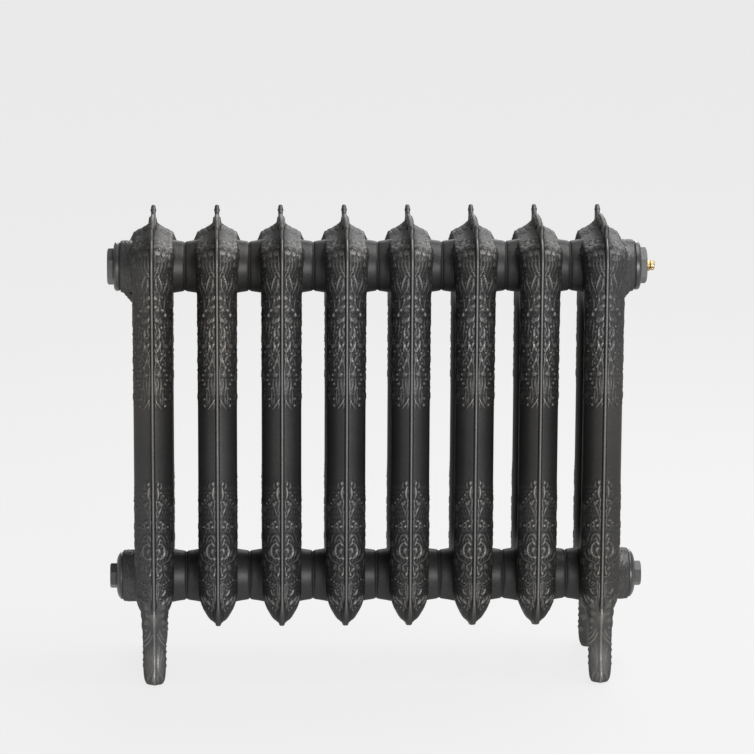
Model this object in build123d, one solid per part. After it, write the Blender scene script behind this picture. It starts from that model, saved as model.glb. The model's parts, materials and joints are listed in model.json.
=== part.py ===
from build123d import *
import os

# Cast iron column radiator, in millimetres.
# X runs along the row of sections, Y from front (-) to back (+), Z up from the floor.
# The origin is on the floor, under the middle of the whole length.

# --- driving dimensions -------------------------------------------------------------
SECTIONS = 8
PITCH = 80.0
HUB_LOW_Z = 118.0
HUB_SPACING = 400.0
HUB_HIGH_Z = HUB_LOW_Z + HUB_SPACING
CREST_Z = 583.0
KEEL_Z = 56.5               # lowest point of the ridge under a section
KEEL_SLOPE = 0.3            # rise of the keel towards the front and the back
KEEL_R = 146.0              # rounding under the middle of the keel
KEEL_CORNER_R = 38.0
CREST_HALF = 2.6            # half the thickness of the crest
CREST_END_Y = 73.0
CREST_DIP_Z = 574.5         # between the finials at its ends and its raised middle
CREST_MIDDLE_Z = 582.0
ROOF_Z = 566.0              # top of the casting under its crest
ROOF_CORNER_R = 32.0        # rounding of the roof towards the front and the back

RIDGE_Y = 96.0              # centre of the section to the face of its front or rear ridge
RIDGE_HALF = 2.35           # half the thickness of the ridge
RIDGE_STANDS = 5.0          # how far the ridge stands out of the column
COLUMN_Y = 54.0             # centre of the section to the centre of a column
COLUMN_HALF_X = 24.4
SHOULDER_HALF_X = 27.3
COLUMN_HALF_Y = 37.5
SLOT_HALF_Y = 14.0
SLOT_LOW_Z = 178.0
SLOT_HIGH_Z = 458.0
WALL = 4.4

GASKET = 1.0                # thickness of the joint ring between two sections
HUB_ROOT_R = 32.5
HUB_FACE_R = 31.0
HUB_FACE_X = PITCH / 2 - GASKET / 2
BOSS_FACE_X = PITCH / 2     # outer face of an end section's boss
BOSS_R = 33.0
BOSS_ROOT_X = 20.0          # where a boss starts to spread into its columns
BOSS_ROOT_HALF_Y = 50.0
GUSSET_REACH_X = 37.5       # the bracket under an end section's top boss
GUSSET_HALF_Y = 8.0
NIPPLE_BORE_R = 20.95       # 1 1/4 inch pipe thread
THREAD_PLAY = 0.05
NIPPLE_LENGTH = 36.0
NIPPLE_WALL = 3.6

END_GASKET = 1.2
COLLAR_R = 30.5
COLLAR_LENGTH = 7.2
PLUG_HEX_FLATS = 40.0
PLUG_HEX_LENGTH = 8.2
SPIGOT_LENGTH = 14.0
SPIGOT_WALL = 4.0

FLANGE_R = 30.0
FLANGE_LENGTH = 7.0
BUSH_HEX_FLATS = 28.0
BUSH_HEX_LENGTH = 8.4
PORT_R = 9.32               # 1/2 inch pipe thread, minor radius

VENT_THREAD_R = 4.85        # 1/8 inch pipe thread
VENT_SHANK_LENGTH = 13.0
VENT_HEX_FLATS = 11.0
VENT_HEX_LENGTH = 4.0
VENT_GAP = 0.4
VENT_KNOB_R = 6.2
VENT_KNOB_LENGTH = 5.8
STEM_R = 2.5
STEM_PLAY = 0.05
STEM_LENGTH = 12.0
SEAL_R = 2.2
SEAL_GAP = 0.1
SEAT_R = 1.2
SPOUT_R = 1.5
SPOUT_LENGTH = 10.0

LEG_TOP_Z = 112.0
HEEL_Y = 66.0
TOE_FLAT_Y = 88.0
LEG_PLAN_HALF_X = 26.0
LEG_PLAN_HALF_Y = 42.0

# The vent knob is the furthest point on the right, the plug's hexagon on the left.
PLUG_REACH = END_GASKET + COLLAR_LENGTH + PLUG_HEX_LENGTH
VENT_REACH = PLUG_REACH + VENT_HEX_LENGTH + VENT_GAP + VENT_KNOB_LENGTH
ROW_SHIFT = (PLUG_REACH - VENT_REACH) / 2
ROW_HALF = (SECTIONS - 1) * PITCH / 2
LEFT_FACE_X = ROW_SHIFT - ROW_HALF - BOSS_FACE_X
RIGHT_FACE_X = ROW_SHIFT + ROW_HALF + BOSS_FACE_X


# --- helpers ------------------------------------------------------------------------
def along_x(outline, half):
    """A flat outline drawn in (Y, Z), made 2 * half thick about X = 0."""
    return extrude(Plane.YZ * outline, amount=half, both=True)


def along_y(outline, half):
    """A flat outline drawn in (X, Z), made 2 * half thick about Y = 0."""
    return extrude(Plane.XZ * outline, amount=half, both=True)


def rod(radius, start, end, z=0.0):
    """A round bar along +X from start to end."""
    return Pos(start, 0, z) * Rot(0, 90, 0) * Cylinder(
        radius, end - start, align=(Align.CENTER, Align.CENTER, Align.MIN))


def taper(radius_start, radius_end, start, end, z=0.0):
    """A cone along +X from start to end."""
    return Pos(start, 0, z) * Rot(0, 90, 0) * Cone(
        radius_start, radius_end, end - start, align=(Align.CENTER, Align.CENTER, Align.MIN))


def hexagon(flats, start, end, edge):
    """A hexagonal bar along +X, its outer corners turned off by a chamfer of length edge."""
    corner_r = flats / 3 ** 0.5
    bar = Pos(start, 0, 0) * Rot(0, 90, 0) * extrude(RegularPolygon(corner_r, 6), amount=end - start)
    turned = rod(corner_r + edge, start, end - edge) + taper(corner_r, flats / 2, end - edge, end)
    return bar & turned


def turned_piece(points):
    """A solid of revolution about X, from its half outline given as (x, radius) points."""
    outline = make_face(Polyline(*points, close=True))
    return revolve(outline, Axis.X)


def mirrored_pair(piece):
    """The piece and its mirror image behind the middle plane."""
    return piece + mirror(piece, Plane.XZ)


# --- one section --------------------------------------------------------------------
def front_outline():
    """The section seen from the front: shoulders, straight column and pointed keel."""
    ogee = Spline((0, ROOF_Z), (4.6, 563.2), (8, 560.4), (16.5, 554.4), (25.2, 549),
                  (SHOULDER_HALF_X, 542), (25.2, 500), (COLUMN_HALF_X, 462))
    side = Line((COLUMN_HALF_X, 462), (COLUMN_HALF_X, HUB_LOW_Z))
    keel = Spline((COLUMN_HALF_X, HUB_LOW_Z), (23.6, 104), (21.4, 94), (17.6, 86), (9, 71.5), (0, 62))
    right = Curve() + [ogee, side, keel]
    return make_face(right + mirror(right, Plane.YZ))


def side_outline(inset, top, top_corner_r):
    """The section seen from the end, drawn in (Y, Z), with a boat-shaped keel."""
    y = RIDGE_Y - inset
    stretch = (1 + KEEL_SLOPE ** 2) ** 0.5
    middle = KEEL_Z - KEEL_R * (stretch - 1) + inset * stretch
    side = middle + KEEL_SLOPE * y
    corner_r = KEEL_CORNER_R - inset
    corners = [(-y, top), (y, top), (y, side), (0, middle), (-y, side)]
    radii = [top_corner_r, top_corner_r, corner_r, KEEL_R - inset, corner_r]
    return make_face(FilletPolyline(*corners, radius=radii, close=True))


def crest_outline():
    """The plate along the roof, seen from the end, with a finial at each end."""
    right = [(CREST_END_Y - 18, CREST_DIP_Z), (CREST_END_Y - 11, CREST_Z), (CREST_END_Y, CREST_Z),
             (CREST_END_Y, ROOF_Z - 8)]
    left = [(-y, z) for y, z in reversed(right)]
    edge = FilletPolyline(*left, (0, CREST_MIDDLE_Z), *right, radius=[5, 4, 4, 60, 4, 4, 5])
    return make_face(Curve() + [edge, Line(right[-1], left[0])])


def slot_outline():
    """The opening between the front and the rear column."""
    middle = (SLOT_LOW_Z + SLOT_HIGH_Z) / 2
    length = SLOT_HIGH_Z - SLOT_LOW_Z
    return Pos(0, middle) * Rot(0, 0, 90) * SlotOverall(length, 2 * SLOT_HALF_Y)


def column(half_x, half_y, low, high):
    """Front and rear column as elliptical bars."""
    bar = extrude(Pos(0, -COLUMN_Y, low) * Ellipse(half_x, half_y), amount=high - low)
    return mirrored_pair(bar)


def block(half_x, half_y, low, high):
    return Pos(0, 0, low) * Box(2 * half_x, 2 * half_y, high - low,
                                align=(Align.CENTER, Align.CENTER, Align.MIN))


def shell():
    """The outside of a section without its hubs."""
    bars = column(SHOULDER_HALF_X + 0.4, COLUMN_HALF_Y, KEEL_Z, CREST_Z)
    heads = block(SHOULDER_HALF_X + 0.4, COLUMN_Y, SLOT_HIGH_Z - SLOT_HALF_Y, CREST_Z)
    heads += block(SHOULDER_HALF_X + 0.4, COLUMN_Y, KEEL_Z, SLOT_LOW_Z + SLOT_HALF_Y)
    body = (bars + heads) & along_y(front_outline(), RIDGE_Y)
    body &= along_x(side_outline(RIDGE_STANDS, ROOF_Z, ROOF_CORNER_R), SHOULDER_HALF_X + 1)
    ridge = along_x(side_outline(0, ROOF_Z + RIDGE_STANDS, ROOF_CORNER_R + RIDGE_STANDS), RIDGE_HALF)
    crest = along_x(crest_outline(), CREST_HALF)
    return body + ridge + crest - along_x(slot_outline(), SHOULDER_HALF_X + 1)


def water_space(left_reach, right_reach):
    """The hollow inside: two columns, two headers and the threaded hub bores."""
    low = HUB_LOW_Z - 2
    high = HUB_HIGH_Z + 20
    space = column(SHOULDER_HALF_X - WALL, COLUMN_HALF_Y - WALL, low, high)
    space &= block(COLUMN_HALF_X - WALL, RIDGE_Y, low, high)
    space += block(COLUMN_HALF_X - WALL, COLUMN_Y, HUB_HIGH_Z - 32, HUB_HIGH_Z + 22)
    space += block(14, COLUMN_Y, HUB_LOW_Z - 21, HUB_LOW_Z + 32)
    for z in (HUB_LOW_Z, HUB_HIGH_Z):
        space += rod(NIPPLE_BORE_R, -left_reach - 1, right_reach + 1, z)
    return space


def hubs():
    """The four hub halves of a middle section."""
    pieces = []
    for z in (HUB_LOW_Z, HUB_HIGH_Z):
        pieces.append(taper(HUB_FACE_R, HUB_ROOT_R, -HUB_FACE_X, 0, z))
        pieces.append(taper(HUB_ROOT_R, HUB_FACE_R, 0, HUB_FACE_X, z))
    return pieces


def middle_section():
    body = shell()
    for hub in hubs():
        body += hub
    return body - water_space(HUB_FACE_X, HUB_FACE_X)


def leg_side(stands):
    """A front leg seen from the end, drawn in (Y, Z): a cabriole curve and a toe."""
    front = Spline((-91.0 - stands, LEG_TOP_Z), (-90 - stands, 92), (-86.5 - stands, 62),
                   (-87.0 - stands, 36), (-92.5 - stands, 18), (-94 - stands, 10),
                   (-92.0 - stands, 3.5), (-TOE_FLAT_Y, 0))
    sole = Line((-TOE_FLAT_Y, 0), (-HEEL_Y, 0))
    back = Spline((-HEEL_Y, 0), (-63.5, 4), (-66.5, 30), (-62, 60), (-46, 82), (-16, 92))
    top = Polyline((-16, 92), (-16, LEG_TOP_Z), (-91.0 - stands, LEG_TOP_Z))
    return make_face(Curve() + [front, sole, back, top])


def leg_front():
    """A leg seen from the front, drawn in (X, Z)."""
    right = Spline((23.6, LEG_TOP_Z), (20.8, 103), (16.7, 85), (15, 59), (15, 26), (12.8, 12), (8.5, 0))
    ends = [Line((0, LEG_TOP_Z), (23.6, LEG_TOP_Z)), Line((8.5, 0), (0, 0))]
    half = Curve() + [ends[0], right, ends[1]]
    return make_face(half + mirror(half, Plane.YZ))


def leg():
    """A front leg, round in plan like its column, with the ridge carried down to the toe."""
    plan = extrude(Pos(0, -COLUMN_Y, 0) * Ellipse(LEG_PLAN_HALF_X, LEG_PLAN_HALF_Y), amount=LEG_TOP_Z)
    body = along_x(leg_side(0), SHOULDER_HALF_X) & along_y(leg_front(), RIDGE_Y + 10) & plan
    ridge = along_x(leg_side(RIDGE_STANDS), RIDGE_HALF) & block(RIDGE_HALF, RIDGE_Y + 10, 0, LEG_TOP_Z)
    return body + ridge


def boss_root(z):
    """The spread of an outer boss into the front and the rear column."""
    root = Plane.YZ.offset(BOSS_ROOT_X) * Pos(0, z) * Ellipse(BOSS_ROOT_HALF_Y, HUB_ROOT_R)
    face = Plane.YZ.offset(BOSS_FACE_X - 1) * Pos(0, z) * Circle(HUB_ROOT_R)
    return loft([root, face])


def end_section():
    """The right-hand end section: a front and a rear leg, and outer bosses at +X."""
    body = shell() + mirrored_pair(leg())
    for z in (HUB_LOW_Z, HUB_HIGH_Z):
        body += taper(HUB_FACE_R, HUB_ROOT_R, -HUB_FACE_X, 0, z)
        body += taper(HUB_ROOT_R, BOSS_R, 0, BOSS_FACE_X, z)
        body += boss_root(z)
    gusset = Polyline((20, HUB_HIGH_Z - 52), (GUSSET_REACH_X, HUB_HIGH_Z - 30), (20, HUB_HIGH_Z - 18), close=True)
    body += along_y(make_face(gusset), GUSSET_HALF_Y)
    return body - water_space(HUB_FACE_X, BOSS_FACE_X)


# --- fittings, drawn about the X axis with the boss face at X = 0 ----------------------
def ring(outer_r, inner_r, thickness):
    return rod(outer_r, 0, thickness) - rod(inner_r, -1, thickness + 1)


def nipple():
    """A threaded sleeve with two lugs inside for the assembly key."""
    half = NIPPLE_LENGTH / 2
    outer_r = NIPPLE_BORE_R - THREAD_PLAY
    inner_r = outer_r - NIPPLE_WALL
    sleeve = rod(outer_r, -half, half) - rod(inner_r, -half - 1, half + 1)
    lug_height = 4.0
    for side in (-1, 1):
        sleeve += Pos(0, 0, side * (inner_r - lug_height / 2 + 1)) * Box(NIPPLE_LENGTH - 8, 6, lug_height + 1)
    return sleeve


def spigot(bore_r):
    outer_r = NIPPLE_BORE_R - THREAD_PLAY
    return rod(outer_r, -SPIGOT_LENGTH, END_GASKET) - rod(bore_r, -SPIGOT_LENGTH - 1, 0)


def plug():
    """A blank plug: hollow threaded spigot, round collar and a large hexagon."""
    start = END_GASKET
    rim = start + COLLAR_LENGTH
    collar = turned_piece([(start, 0), (start, COLLAR_R - 1), (start + 1, COLLAR_R), (rim - 3, COLLAR_R),
                           (rim - 1, COLLAR_R - 1.4), (rim, COLLAR_R - 4), (rim, 0)])
    head = hexagon(PLUG_HEX_FLATS, rim, rim + PLUG_HEX_LENGTH, 1.6)
    return spigot(NIPPLE_BORE_R - SPIGOT_WALL) + collar + head


def vent_plug():
    """The same plug with a small threaded hole through it for the air vent."""
    return plug() - rod(VENT_THREAD_R, -1, PLUG_REACH + 1)


def bush():
    """A reducing bush: spigot, domed flange, small hexagon and a threaded port right through."""
    start = END_GASKET
    rim = start + FLANGE_LENGTH
    outline = Curve() + [
        Line((start, 0), (start, FLANGE_R)),
        Line((start, FLANGE_R), (start + 1.6, FLANGE_R)),
        Spline((start + 1.6, FLANGE_R), (start + 4.2, FLANGE_R - 3.0), (rim, FLANGE_R - 12)),
        Line((rim, FLANGE_R - 12), (rim, 0)),
        Line((rim, 0), (start, 0)),
    ]
    dome = revolve(make_face(outline), Axis.X)
    head = hexagon(BUSH_HEX_FLATS, rim, rim + BUSH_HEX_LENGTH, 1.4)
    body = rod(NIPPLE_BORE_R - THREAD_PLAY, -SPIGOT_LENGTH, start) + dome + head
    return body - rod(PORT_R, -SPIGOT_LENGTH - 1, rim + BUSH_HEX_LENGTH + 1)


# --- air vent, drawn about the X axis with the plug's hexagon face at X = 0 -------------
def vent_body():
    """Brass body: threaded shank, hexagon, stem bore, valve seat and a slanting spout."""
    bore_r = STEM_R + STEM_PLAY
    body = rod(VENT_THREAD_R - THREAD_PLAY, -VENT_SHANK_LENGTH, 0)
    body += hexagon(VENT_HEX_FLATS, 0, VENT_HEX_LENGTH, 0.6)
    spout = Pos(VENT_HEX_LENGTH / 2, 0, 0) * Rot(115, 0, 0) * Cylinder(
        SPOUT_R, SPOUT_LENGTH, align=(Align.CENTER, Align.CENTER, Align.MIN))
    body += spout
    seal_low = -STEM_LENGTH + VENT_HEX_LENGTH - SEAL_GAP - 2 * SEAL_R - 0.3
    body -= rod(bore_r, seal_low, VENT_HEX_LENGTH + 1)
    body -= rod(SEAT_R, -VENT_SHANK_LENGTH - 1, seal_low + 1)
    return body


def vent_seal():
    """The ball that closes the seat."""
    return Pos(-STEM_LENGTH + VENT_HEX_LENGTH - SEAL_GAP - SEAL_R, 0, 0) * Sphere(SEAL_R)


def vent_screw():
    """The bleed screw: stem, ribbed knob and a screwdriver slot."""
    knob_start = VENT_HEX_LENGTH + VENT_GAP
    knob_end = knob_start + VENT_KNOB_LENGTH
    screw = rod(STEM_R, VENT_HEX_LENGTH - STEM_LENGTH, knob_start + 1)
    screw += turned_piece([(knob_start, 0), (knob_start, VENT_KNOB_R - 1), (knob_start + 1, VENT_KNOB_R),
                           (knob_end - 1.2, VENT_KNOB_R), (knob_end, VENT_KNOB_R - 1.6), (knob_end, 0)])
    grip_count = 12
    for turn in range(grip_count):
        groove = Rot(360 / grip_count * turn, 0, 0) * Pos(0, 0, VENT_KNOB_R + 0.25) * rod(0.8, knob_start, knob_end + 1)
        screw -= groove
    slot_width = 1.2
    slot_depth = 1.8
    screw -= Pos(knob_end, 0, 0) * Box(2 * slot_depth, 2 * VENT_KNOB_R + 2, slot_width)
    return screw


# --- assembly -----------------------------------------------------------------------
def section_x(index):
    return ROW_SHIFT - ROW_HALF + index * PITCH


def all_parts():
    parts = {}
    middle = middle_section()
    right_end = end_section()
    left_end = mirror(right_end, Plane.YZ)
    for index in range(SECTIONS):
        shape = middle
        if index == 0:
            shape = left_end
        if index == SECTIONS - 1:
            shape = right_end
        parts[f"section_{index + 1}"] = Pos(section_x(index), 0, 0) * shape

    sleeve = nipple()
    joint_ring = Pos(-GASKET / 2, 0, 0) * ring(HUB_FACE_R - 1, NIPPLE_BORE_R + 0.5, GASKET)
    for level, z in (("bottom", HUB_LOW_Z), ("top", HUB_HIGH_Z)):
        for index in range(SECTIONS - 1):
            x = section_x(index) + PITCH / 2
            parts[f"nipple_{level}_{index + 1}"] = Pos(x, 0, z) * sleeve
            parts[f"joint_gasket_{level}_{index + 1}"] = Pos(x, 0, z) * joint_ring

    end_ring = ring(COLLAR_R - 0.6, NIPPLE_BORE_R + 0.5, END_GASKET)
    right_high = Pos(RIGHT_FACE_X, 0, HUB_HIGH_Z)
    right_low = Pos(RIGHT_FACE_X, 0, HUB_LOW_Z)
    left_high = Pos(LEFT_FACE_X, 0, HUB_HIGH_Z) * Rot(0, 0, 180)
    left_low = Pos(LEFT_FACE_X, 0, HUB_LOW_Z) * Rot(0, 0, 180)
    parts["plug_top_left"] = left_high * plug()
    parts["vent_plug_top_right"] = right_high * vent_plug()
    parts["bush_bottom_left"] = left_low * bush()
    parts["bush_bottom_right"] = right_low * bush()
    parts["plug_gasket"] = left_high * end_ring
    parts["vent_plug_gasket"] = right_high * end_ring
    parts["bush_gasket_left"] = left_low * end_ring
    parts["bush_gasket_right"] = right_low * end_ring

    vent_place = Pos(RIGHT_FACE_X + PLUG_REACH, 0, HUB_HIGH_Z)
    parts["vent_body"] = vent_place * vent_body()
    parts["vent_seal"] = vent_place * vent_seal()
    parts["vent_screw"] = vent_place * vent_screw()
    return parts


os.makedirs("parts", exist_ok=True)
for name, shape in all_parts().items():
    export_step(shape, f"parts/{name}.step")
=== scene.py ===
"""Ornate cast iron radiator: castings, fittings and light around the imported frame.

Shapes are worked out in millimetres, in the row frame, and turned into metres when a mesh is made.
A casting is symmetrical left to right and front to back, so a quarter of it is built and mirrored.
"""
import json
import math

import bmesh
import bpy
import numpy as np
from mathutils import Matrix, Vector


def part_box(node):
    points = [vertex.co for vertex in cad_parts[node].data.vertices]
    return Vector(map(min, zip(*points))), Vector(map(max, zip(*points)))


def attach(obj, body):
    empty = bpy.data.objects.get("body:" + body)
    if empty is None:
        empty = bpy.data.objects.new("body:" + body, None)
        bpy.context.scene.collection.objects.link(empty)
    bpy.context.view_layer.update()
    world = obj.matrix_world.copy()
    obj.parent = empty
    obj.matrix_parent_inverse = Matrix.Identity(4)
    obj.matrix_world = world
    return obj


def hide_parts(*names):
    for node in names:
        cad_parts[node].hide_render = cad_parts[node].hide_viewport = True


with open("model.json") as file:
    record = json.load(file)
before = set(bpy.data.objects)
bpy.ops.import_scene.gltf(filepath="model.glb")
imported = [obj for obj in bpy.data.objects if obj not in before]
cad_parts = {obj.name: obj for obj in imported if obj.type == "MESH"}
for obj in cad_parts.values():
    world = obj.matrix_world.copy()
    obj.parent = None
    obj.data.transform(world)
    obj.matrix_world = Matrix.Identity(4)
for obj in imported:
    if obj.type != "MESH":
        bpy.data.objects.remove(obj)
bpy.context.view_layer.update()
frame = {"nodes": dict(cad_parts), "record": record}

MM = 0.001

# --- sizes of a section, from its own middle plane, in millimetres ---
HUB_LOW_Z = 118.0
HUB_HIGH_Z = 518.0
RIDGE_Y = 96.0
KEEL_Z = 56.5
KEEL_SLOPE = 0.3
KEEL_R = 146.0
KEEL_CORNER_R = 38.0
CREST_LINE = [(73.0, 562), (73.2, 574), (72.4, 579.6), (70.4, 582.2), (67.5, 583), (64.6, 582.4), (61.4, 580),
              (58, 576.4), (53, 574.4), (45, 575.2), (30, 578.4), (15, 580.8), (0, 581.6)]
ROOF_Z = 566.0
ROOF_CORNER_R = 32.0
RIDGE_STANDS = 5.0
BODY_Y = RIDGE_Y - RIDGE_STANDS
BODY_LOW_Z = 66.0           # the keel's own label in the front outline, before it is bent
COLUMN_Y = 54.0
SLOT_HALF_Y = 14.0
SLOT_LOW_Z = 192.0          # centres of the round ends of the slot
SLOT_HIGH_Z = 444.0
FAN_LOW_Z = 196.0           # rows of points between these run straight to the slot's sides
FAN_HIGH_Z = 440.0
FAN_SPAN = 30.0             # and those this far beyond fan round its ends
PLAIN_LOW_Z = 268.0         # the stretch with no ornament
PLAIN_HIGH_Z = 352.0
COLUMN_HALF_X = 24.4

HUB_FACE_X = 39.5
BOSS_FACE_X = 40.0
BORE_R = 20.95
HUB_FACE_R = 31.0
HUB_ROOT_R = 32.5
BOSS_R = 33.0

# Half the width of a column at each height: the roof's slope, the swelling shoulder, the shaft and the keel.
FRONT_OUTLINE = [(566, 0.0), (565.6, 1.4), (564.2, 2.8), (561.6, 5.0), (558.6, 8.2), (556, 12.2),
                 (553.7, 17.0), (551.4, 21.6), (548.8, 25.0), (545.4, 26.9), (540, 27.4), (520, 26.2),
                 (500, 25.2), (462, 24.4), (290, 24.4), (118, 24.4), (104, 23.4), (94, 21.6), (86, 18.8),
                 (78, 15.0), (72, 11.6), (68, 7.8), (66.4, 4.0), (66, 0.0)]

# --- sizes of a leg, as (height, size) down from the casting ---
LEG_TOP_Z = 110.0
LEG_FRONT = [(112, 90.0), (92, 89.8), (76, 88.2), (62, 86.5), (36, 87.0), (18, 92.2), (10, 93.6), (3.5, 92.0),
             (0, 87.5)]
LEG_BACK = [(112, 20.0), (92, 30.0), (82, 46.0), (60, 61.0), (44, 65.5), (30, 66.5), (12, 65.0), (4, 63.5),
            (0, 66.0)]
LEG_HALF = [(112, 22.4), (103, 20.4), (94, 18.2), (85, 16.6), (72, 15.4), (59, 14.8), (40, 14.4), (26, 14.4),
            (18, 14.2), (12, 13.8), (5, 12.8), (0, 10.8)]
LEG_PROW = [(112, 4.6), (96, 4.8), (84, 5.0), (60, 4.6), (36, 4.4), (10, 4.8), (0, 2.5)]
LEG_STEP = 1.3
LEG_COLUMNS = 72
LEG_SQUARE = 0.86           # below 1, a leg is squarer than an ellipse
LEG_CROWD = 1.15            # above 1, its points crowd towards the prow
LEG_LIMIT_Y = 98.8          # no ornament of the toe goes further forward
KNEE_Z = 88.0
KNEE_SPREAD = 8.5
TOE_Z = 27.0
TOE_SPREAD = 15.0

# --- sizes of the outer bosses and the bracket under the upper one ---
BOSS_EDGE_X = BOSS_FACE_X - 1
BOSS_WALL_R = 31.5          # points further out than this are on the outer wall
BOSS_INSET = 0.5
BOSS_LIFT = 0.7
BOSS_FLARE = 0.52           # how much the root spreads along the depth
BOSS_FLARE_LENGTH = 19.0
GUSSET_TOP_X = 39.2
GUSSET_TOP_Z = HUB_HIGH_Z - 30.0
GUSSET_RUN_X = 16.2
GUSSET_DROP_Z = 19.5
GUSSET_HALF_Y = 12
GUSSET_BULGE = 9
GUSSET_BACK = (-10.0, 0.0, 12.0)
SCALLOP = 0.5
SCALLOP_COUNT = 5

# --- how the ornament is laid out ---
SEEN_HALF_WIDTH = [(60, 24.4), (462, 24.4), (540, 27.4), (610, 27.4)]
SEEN_TOP_Z = 606.0
SHOULDER_LOW_Z = 530.0
SIGHT_DROP = [(70, 0.299), (300, 0.233), (560, 0.203)]    # fall of the line of sight, at each height
LIFT = 1.3                                                # all ornament is raised by this
SIDE_CALM = 0.45                                          # how much lower it is on a column's side
ROOF_CALM = 0.5                                           # and on the slopes of the roof
SLOPE_LABELS = (546, 552)                                 # labels and depths over which a slope begins
SLOPE_DEPTHS = (-82, -66)
SIDE_FADE = (32, 46)                                      # girths over which the side begins
RIDGE_FADE = (1.2, 3.0)                                   # x over which the ornament rises by the ridge
FRONT_FADE = (COLUMN_Y - 6, COLUMN_Y + 4)                 # depths over which front gives way to roof
UPPER_BAND = (360, 572)
LOWER_BAND = (98, 262)
UPPER_VINE = (362, 532)
LOWER_VINE = (150, 262)

# --- wear and painted light, from 0 in the hollows, darkened as painted shade, to about 1 where the iron is rubbed bright and carries a painted highlight ---
BODY_WEAR_AND_LIGHT = 0.22
RUB_AND_HIGHLIGHT = 0.5
FULL_HIGHLIGHT_HEIGHT = 1.5         # ornament this high is rubbed and given its painted highlight in full
HOLLOW_PAINTED_SHADE = 0.2
OUTER_EVEN_TONE = 0.36           # the outer faces of the end sections are evened towards this tone, evening out their rubbing and their painted highlights and shade
OUTER_CALM = 0.55


# --- curves ---
def smooth_curve(points, steps=12):
    """A Catmull-Rom curve through the points, with that many steps from one to the next."""
    points = np.array(points, float)
    padded = np.vstack([2 * points[0] - points[1], points, 2 * points[-1] - points[-2]])
    t = np.linspace(0, 1, steps, endpoint=False)[:, None]
    spans = []
    for a, b, c, d in zip(padded, padded[1:], padded[2:], padded[3:]):
        spans.append(0.5 * (2 * b + (c - a) * t + (2 * a - 5 * b + 4 * c - d) * t ** 2
                            + (3 * b - a - 3 * c + d) * t ** 3))
    spans.append(points[-1:])
    return np.vstack(spans)


class Outline:
    """A size that changes with height, smooth through a few (height, size) points."""

    def __init__(self, points):
        line = smooth_curve(points)
        order = np.argsort(line[:, 0])
        self.z = line[order, 0]
        self.size = line[order, 1]

    def __call__(self, z):
        return np.interp(z, self.z, self.size)


def smooth_step(value, low, high):
    """0 below low, 1 above high and a smooth rise between them."""
    t = np.clip((value - low) / (high - low), 0, 1)
    return t * t * (3 - 2 * t)


def bell(value, spread, middle=0.0):
    """1 at the middle, falling away smoothly on both sides."""
    return np.exp(-((value - middle) / spread) ** 2)


half_width = Outline(FRONT_OUTLINE)


def roof_line(y):
    """Height of the casting's top at a depth, rounded down towards the front."""
    over = np.clip(np.abs(y) - (BODY_Y - ROOF_CORNER_R), 0, ROOF_CORNER_R)
    return ROOF_Z - ROOF_CORNER_R + np.sqrt(ROOF_CORNER_R ** 2 - over ** 2)


def keel_line(y):
    """Height of the casting's bottom at a depth: a long arc, a slope and a rounded corner."""
    r, corner_r, inset = KEEL_R - RIDGE_STANDS, KEEL_CORNER_R - RIDGE_STANDS, RIDGE_STANDS
    lean = math.hypot(1, KEEL_SLOPE)
    y = np.abs(y)
    point = KEEL_Z - KEEL_R * (lean - 1) + inset * lean
    arc = point + r * lean - np.sqrt(r ** 2 - np.clip(y, 0, r * KEEL_SLOPE / lean) ** 2)
    slope = point + KEEL_SLOPE * y
    turn_y = BODY_Y - corner_r
    turn_z = point + KEEL_SLOPE * turn_y + corner_r * lean
    corner = turn_z - np.sqrt(corner_r ** 2 - np.clip(y - turn_y, 0, corner_r) ** 2)
    line = np.where(y < r * KEEL_SLOPE / lean, arc, slope)
    return np.where(y > turn_y + corner_r * KEEL_SLOPE / lean, corner, line)


def bent(y, z):
    """Actual heights of points labelled by the front outline: its ends follow the roof and the keel."""
    top = HUB_HIGH_Z + (z - HUB_HIGH_Z) * (roof_line(y) - HUB_HIGH_Z) / (ROOF_Z - HUB_HIGH_Z)
    low = HUB_LOW_Z - (HUB_LOW_Z - z) * (HUB_LOW_Z - keel_line(y)) / (HUB_LOW_Z - BODY_LOW_Z)
    return np.where(z > HUB_HIGH_Z, top, np.where(z < HUB_LOW_Z, low, z))


# --- girth: the way round a column from its ridge to its side ---
_ANGLES = np.linspace(0, math.pi / 2, 400)
_STEPS = np.hypot(COLUMN_HALF_X * np.cos(_ANGLES), (BODY_Y - COLUMN_Y) * np.sin(_ANGLES))
_GIRTHS = np.concatenate([[0], np.cumsum((_STEPS[1:] + _STEPS[:-1]) / 2 * np.diff(_ANGLES))])
SIDE_GIRTH = float(_GIRTHS[-1])


def seen_half_width(z):
    heights, sizes = zip(*SEEN_HALF_WIDTH)
    return np.interp(z, heights, sizes)


def seen_height(y, z):
    """The height on the front face in line with a point, for someone looking down at the casting."""
    heights, drops = zip(*SIGHT_DROP)
    return z + np.interp(z, heights, drops) * (y + BODY_Y)


def girth_at(x, z):
    """The girth of a point seen from the front at x millimetres from the ridge."""
    return np.interp(np.arcsin(np.clip(x / seen_half_width(z), 0, 1)), _ANGLES, _GIRTHS)


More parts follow.
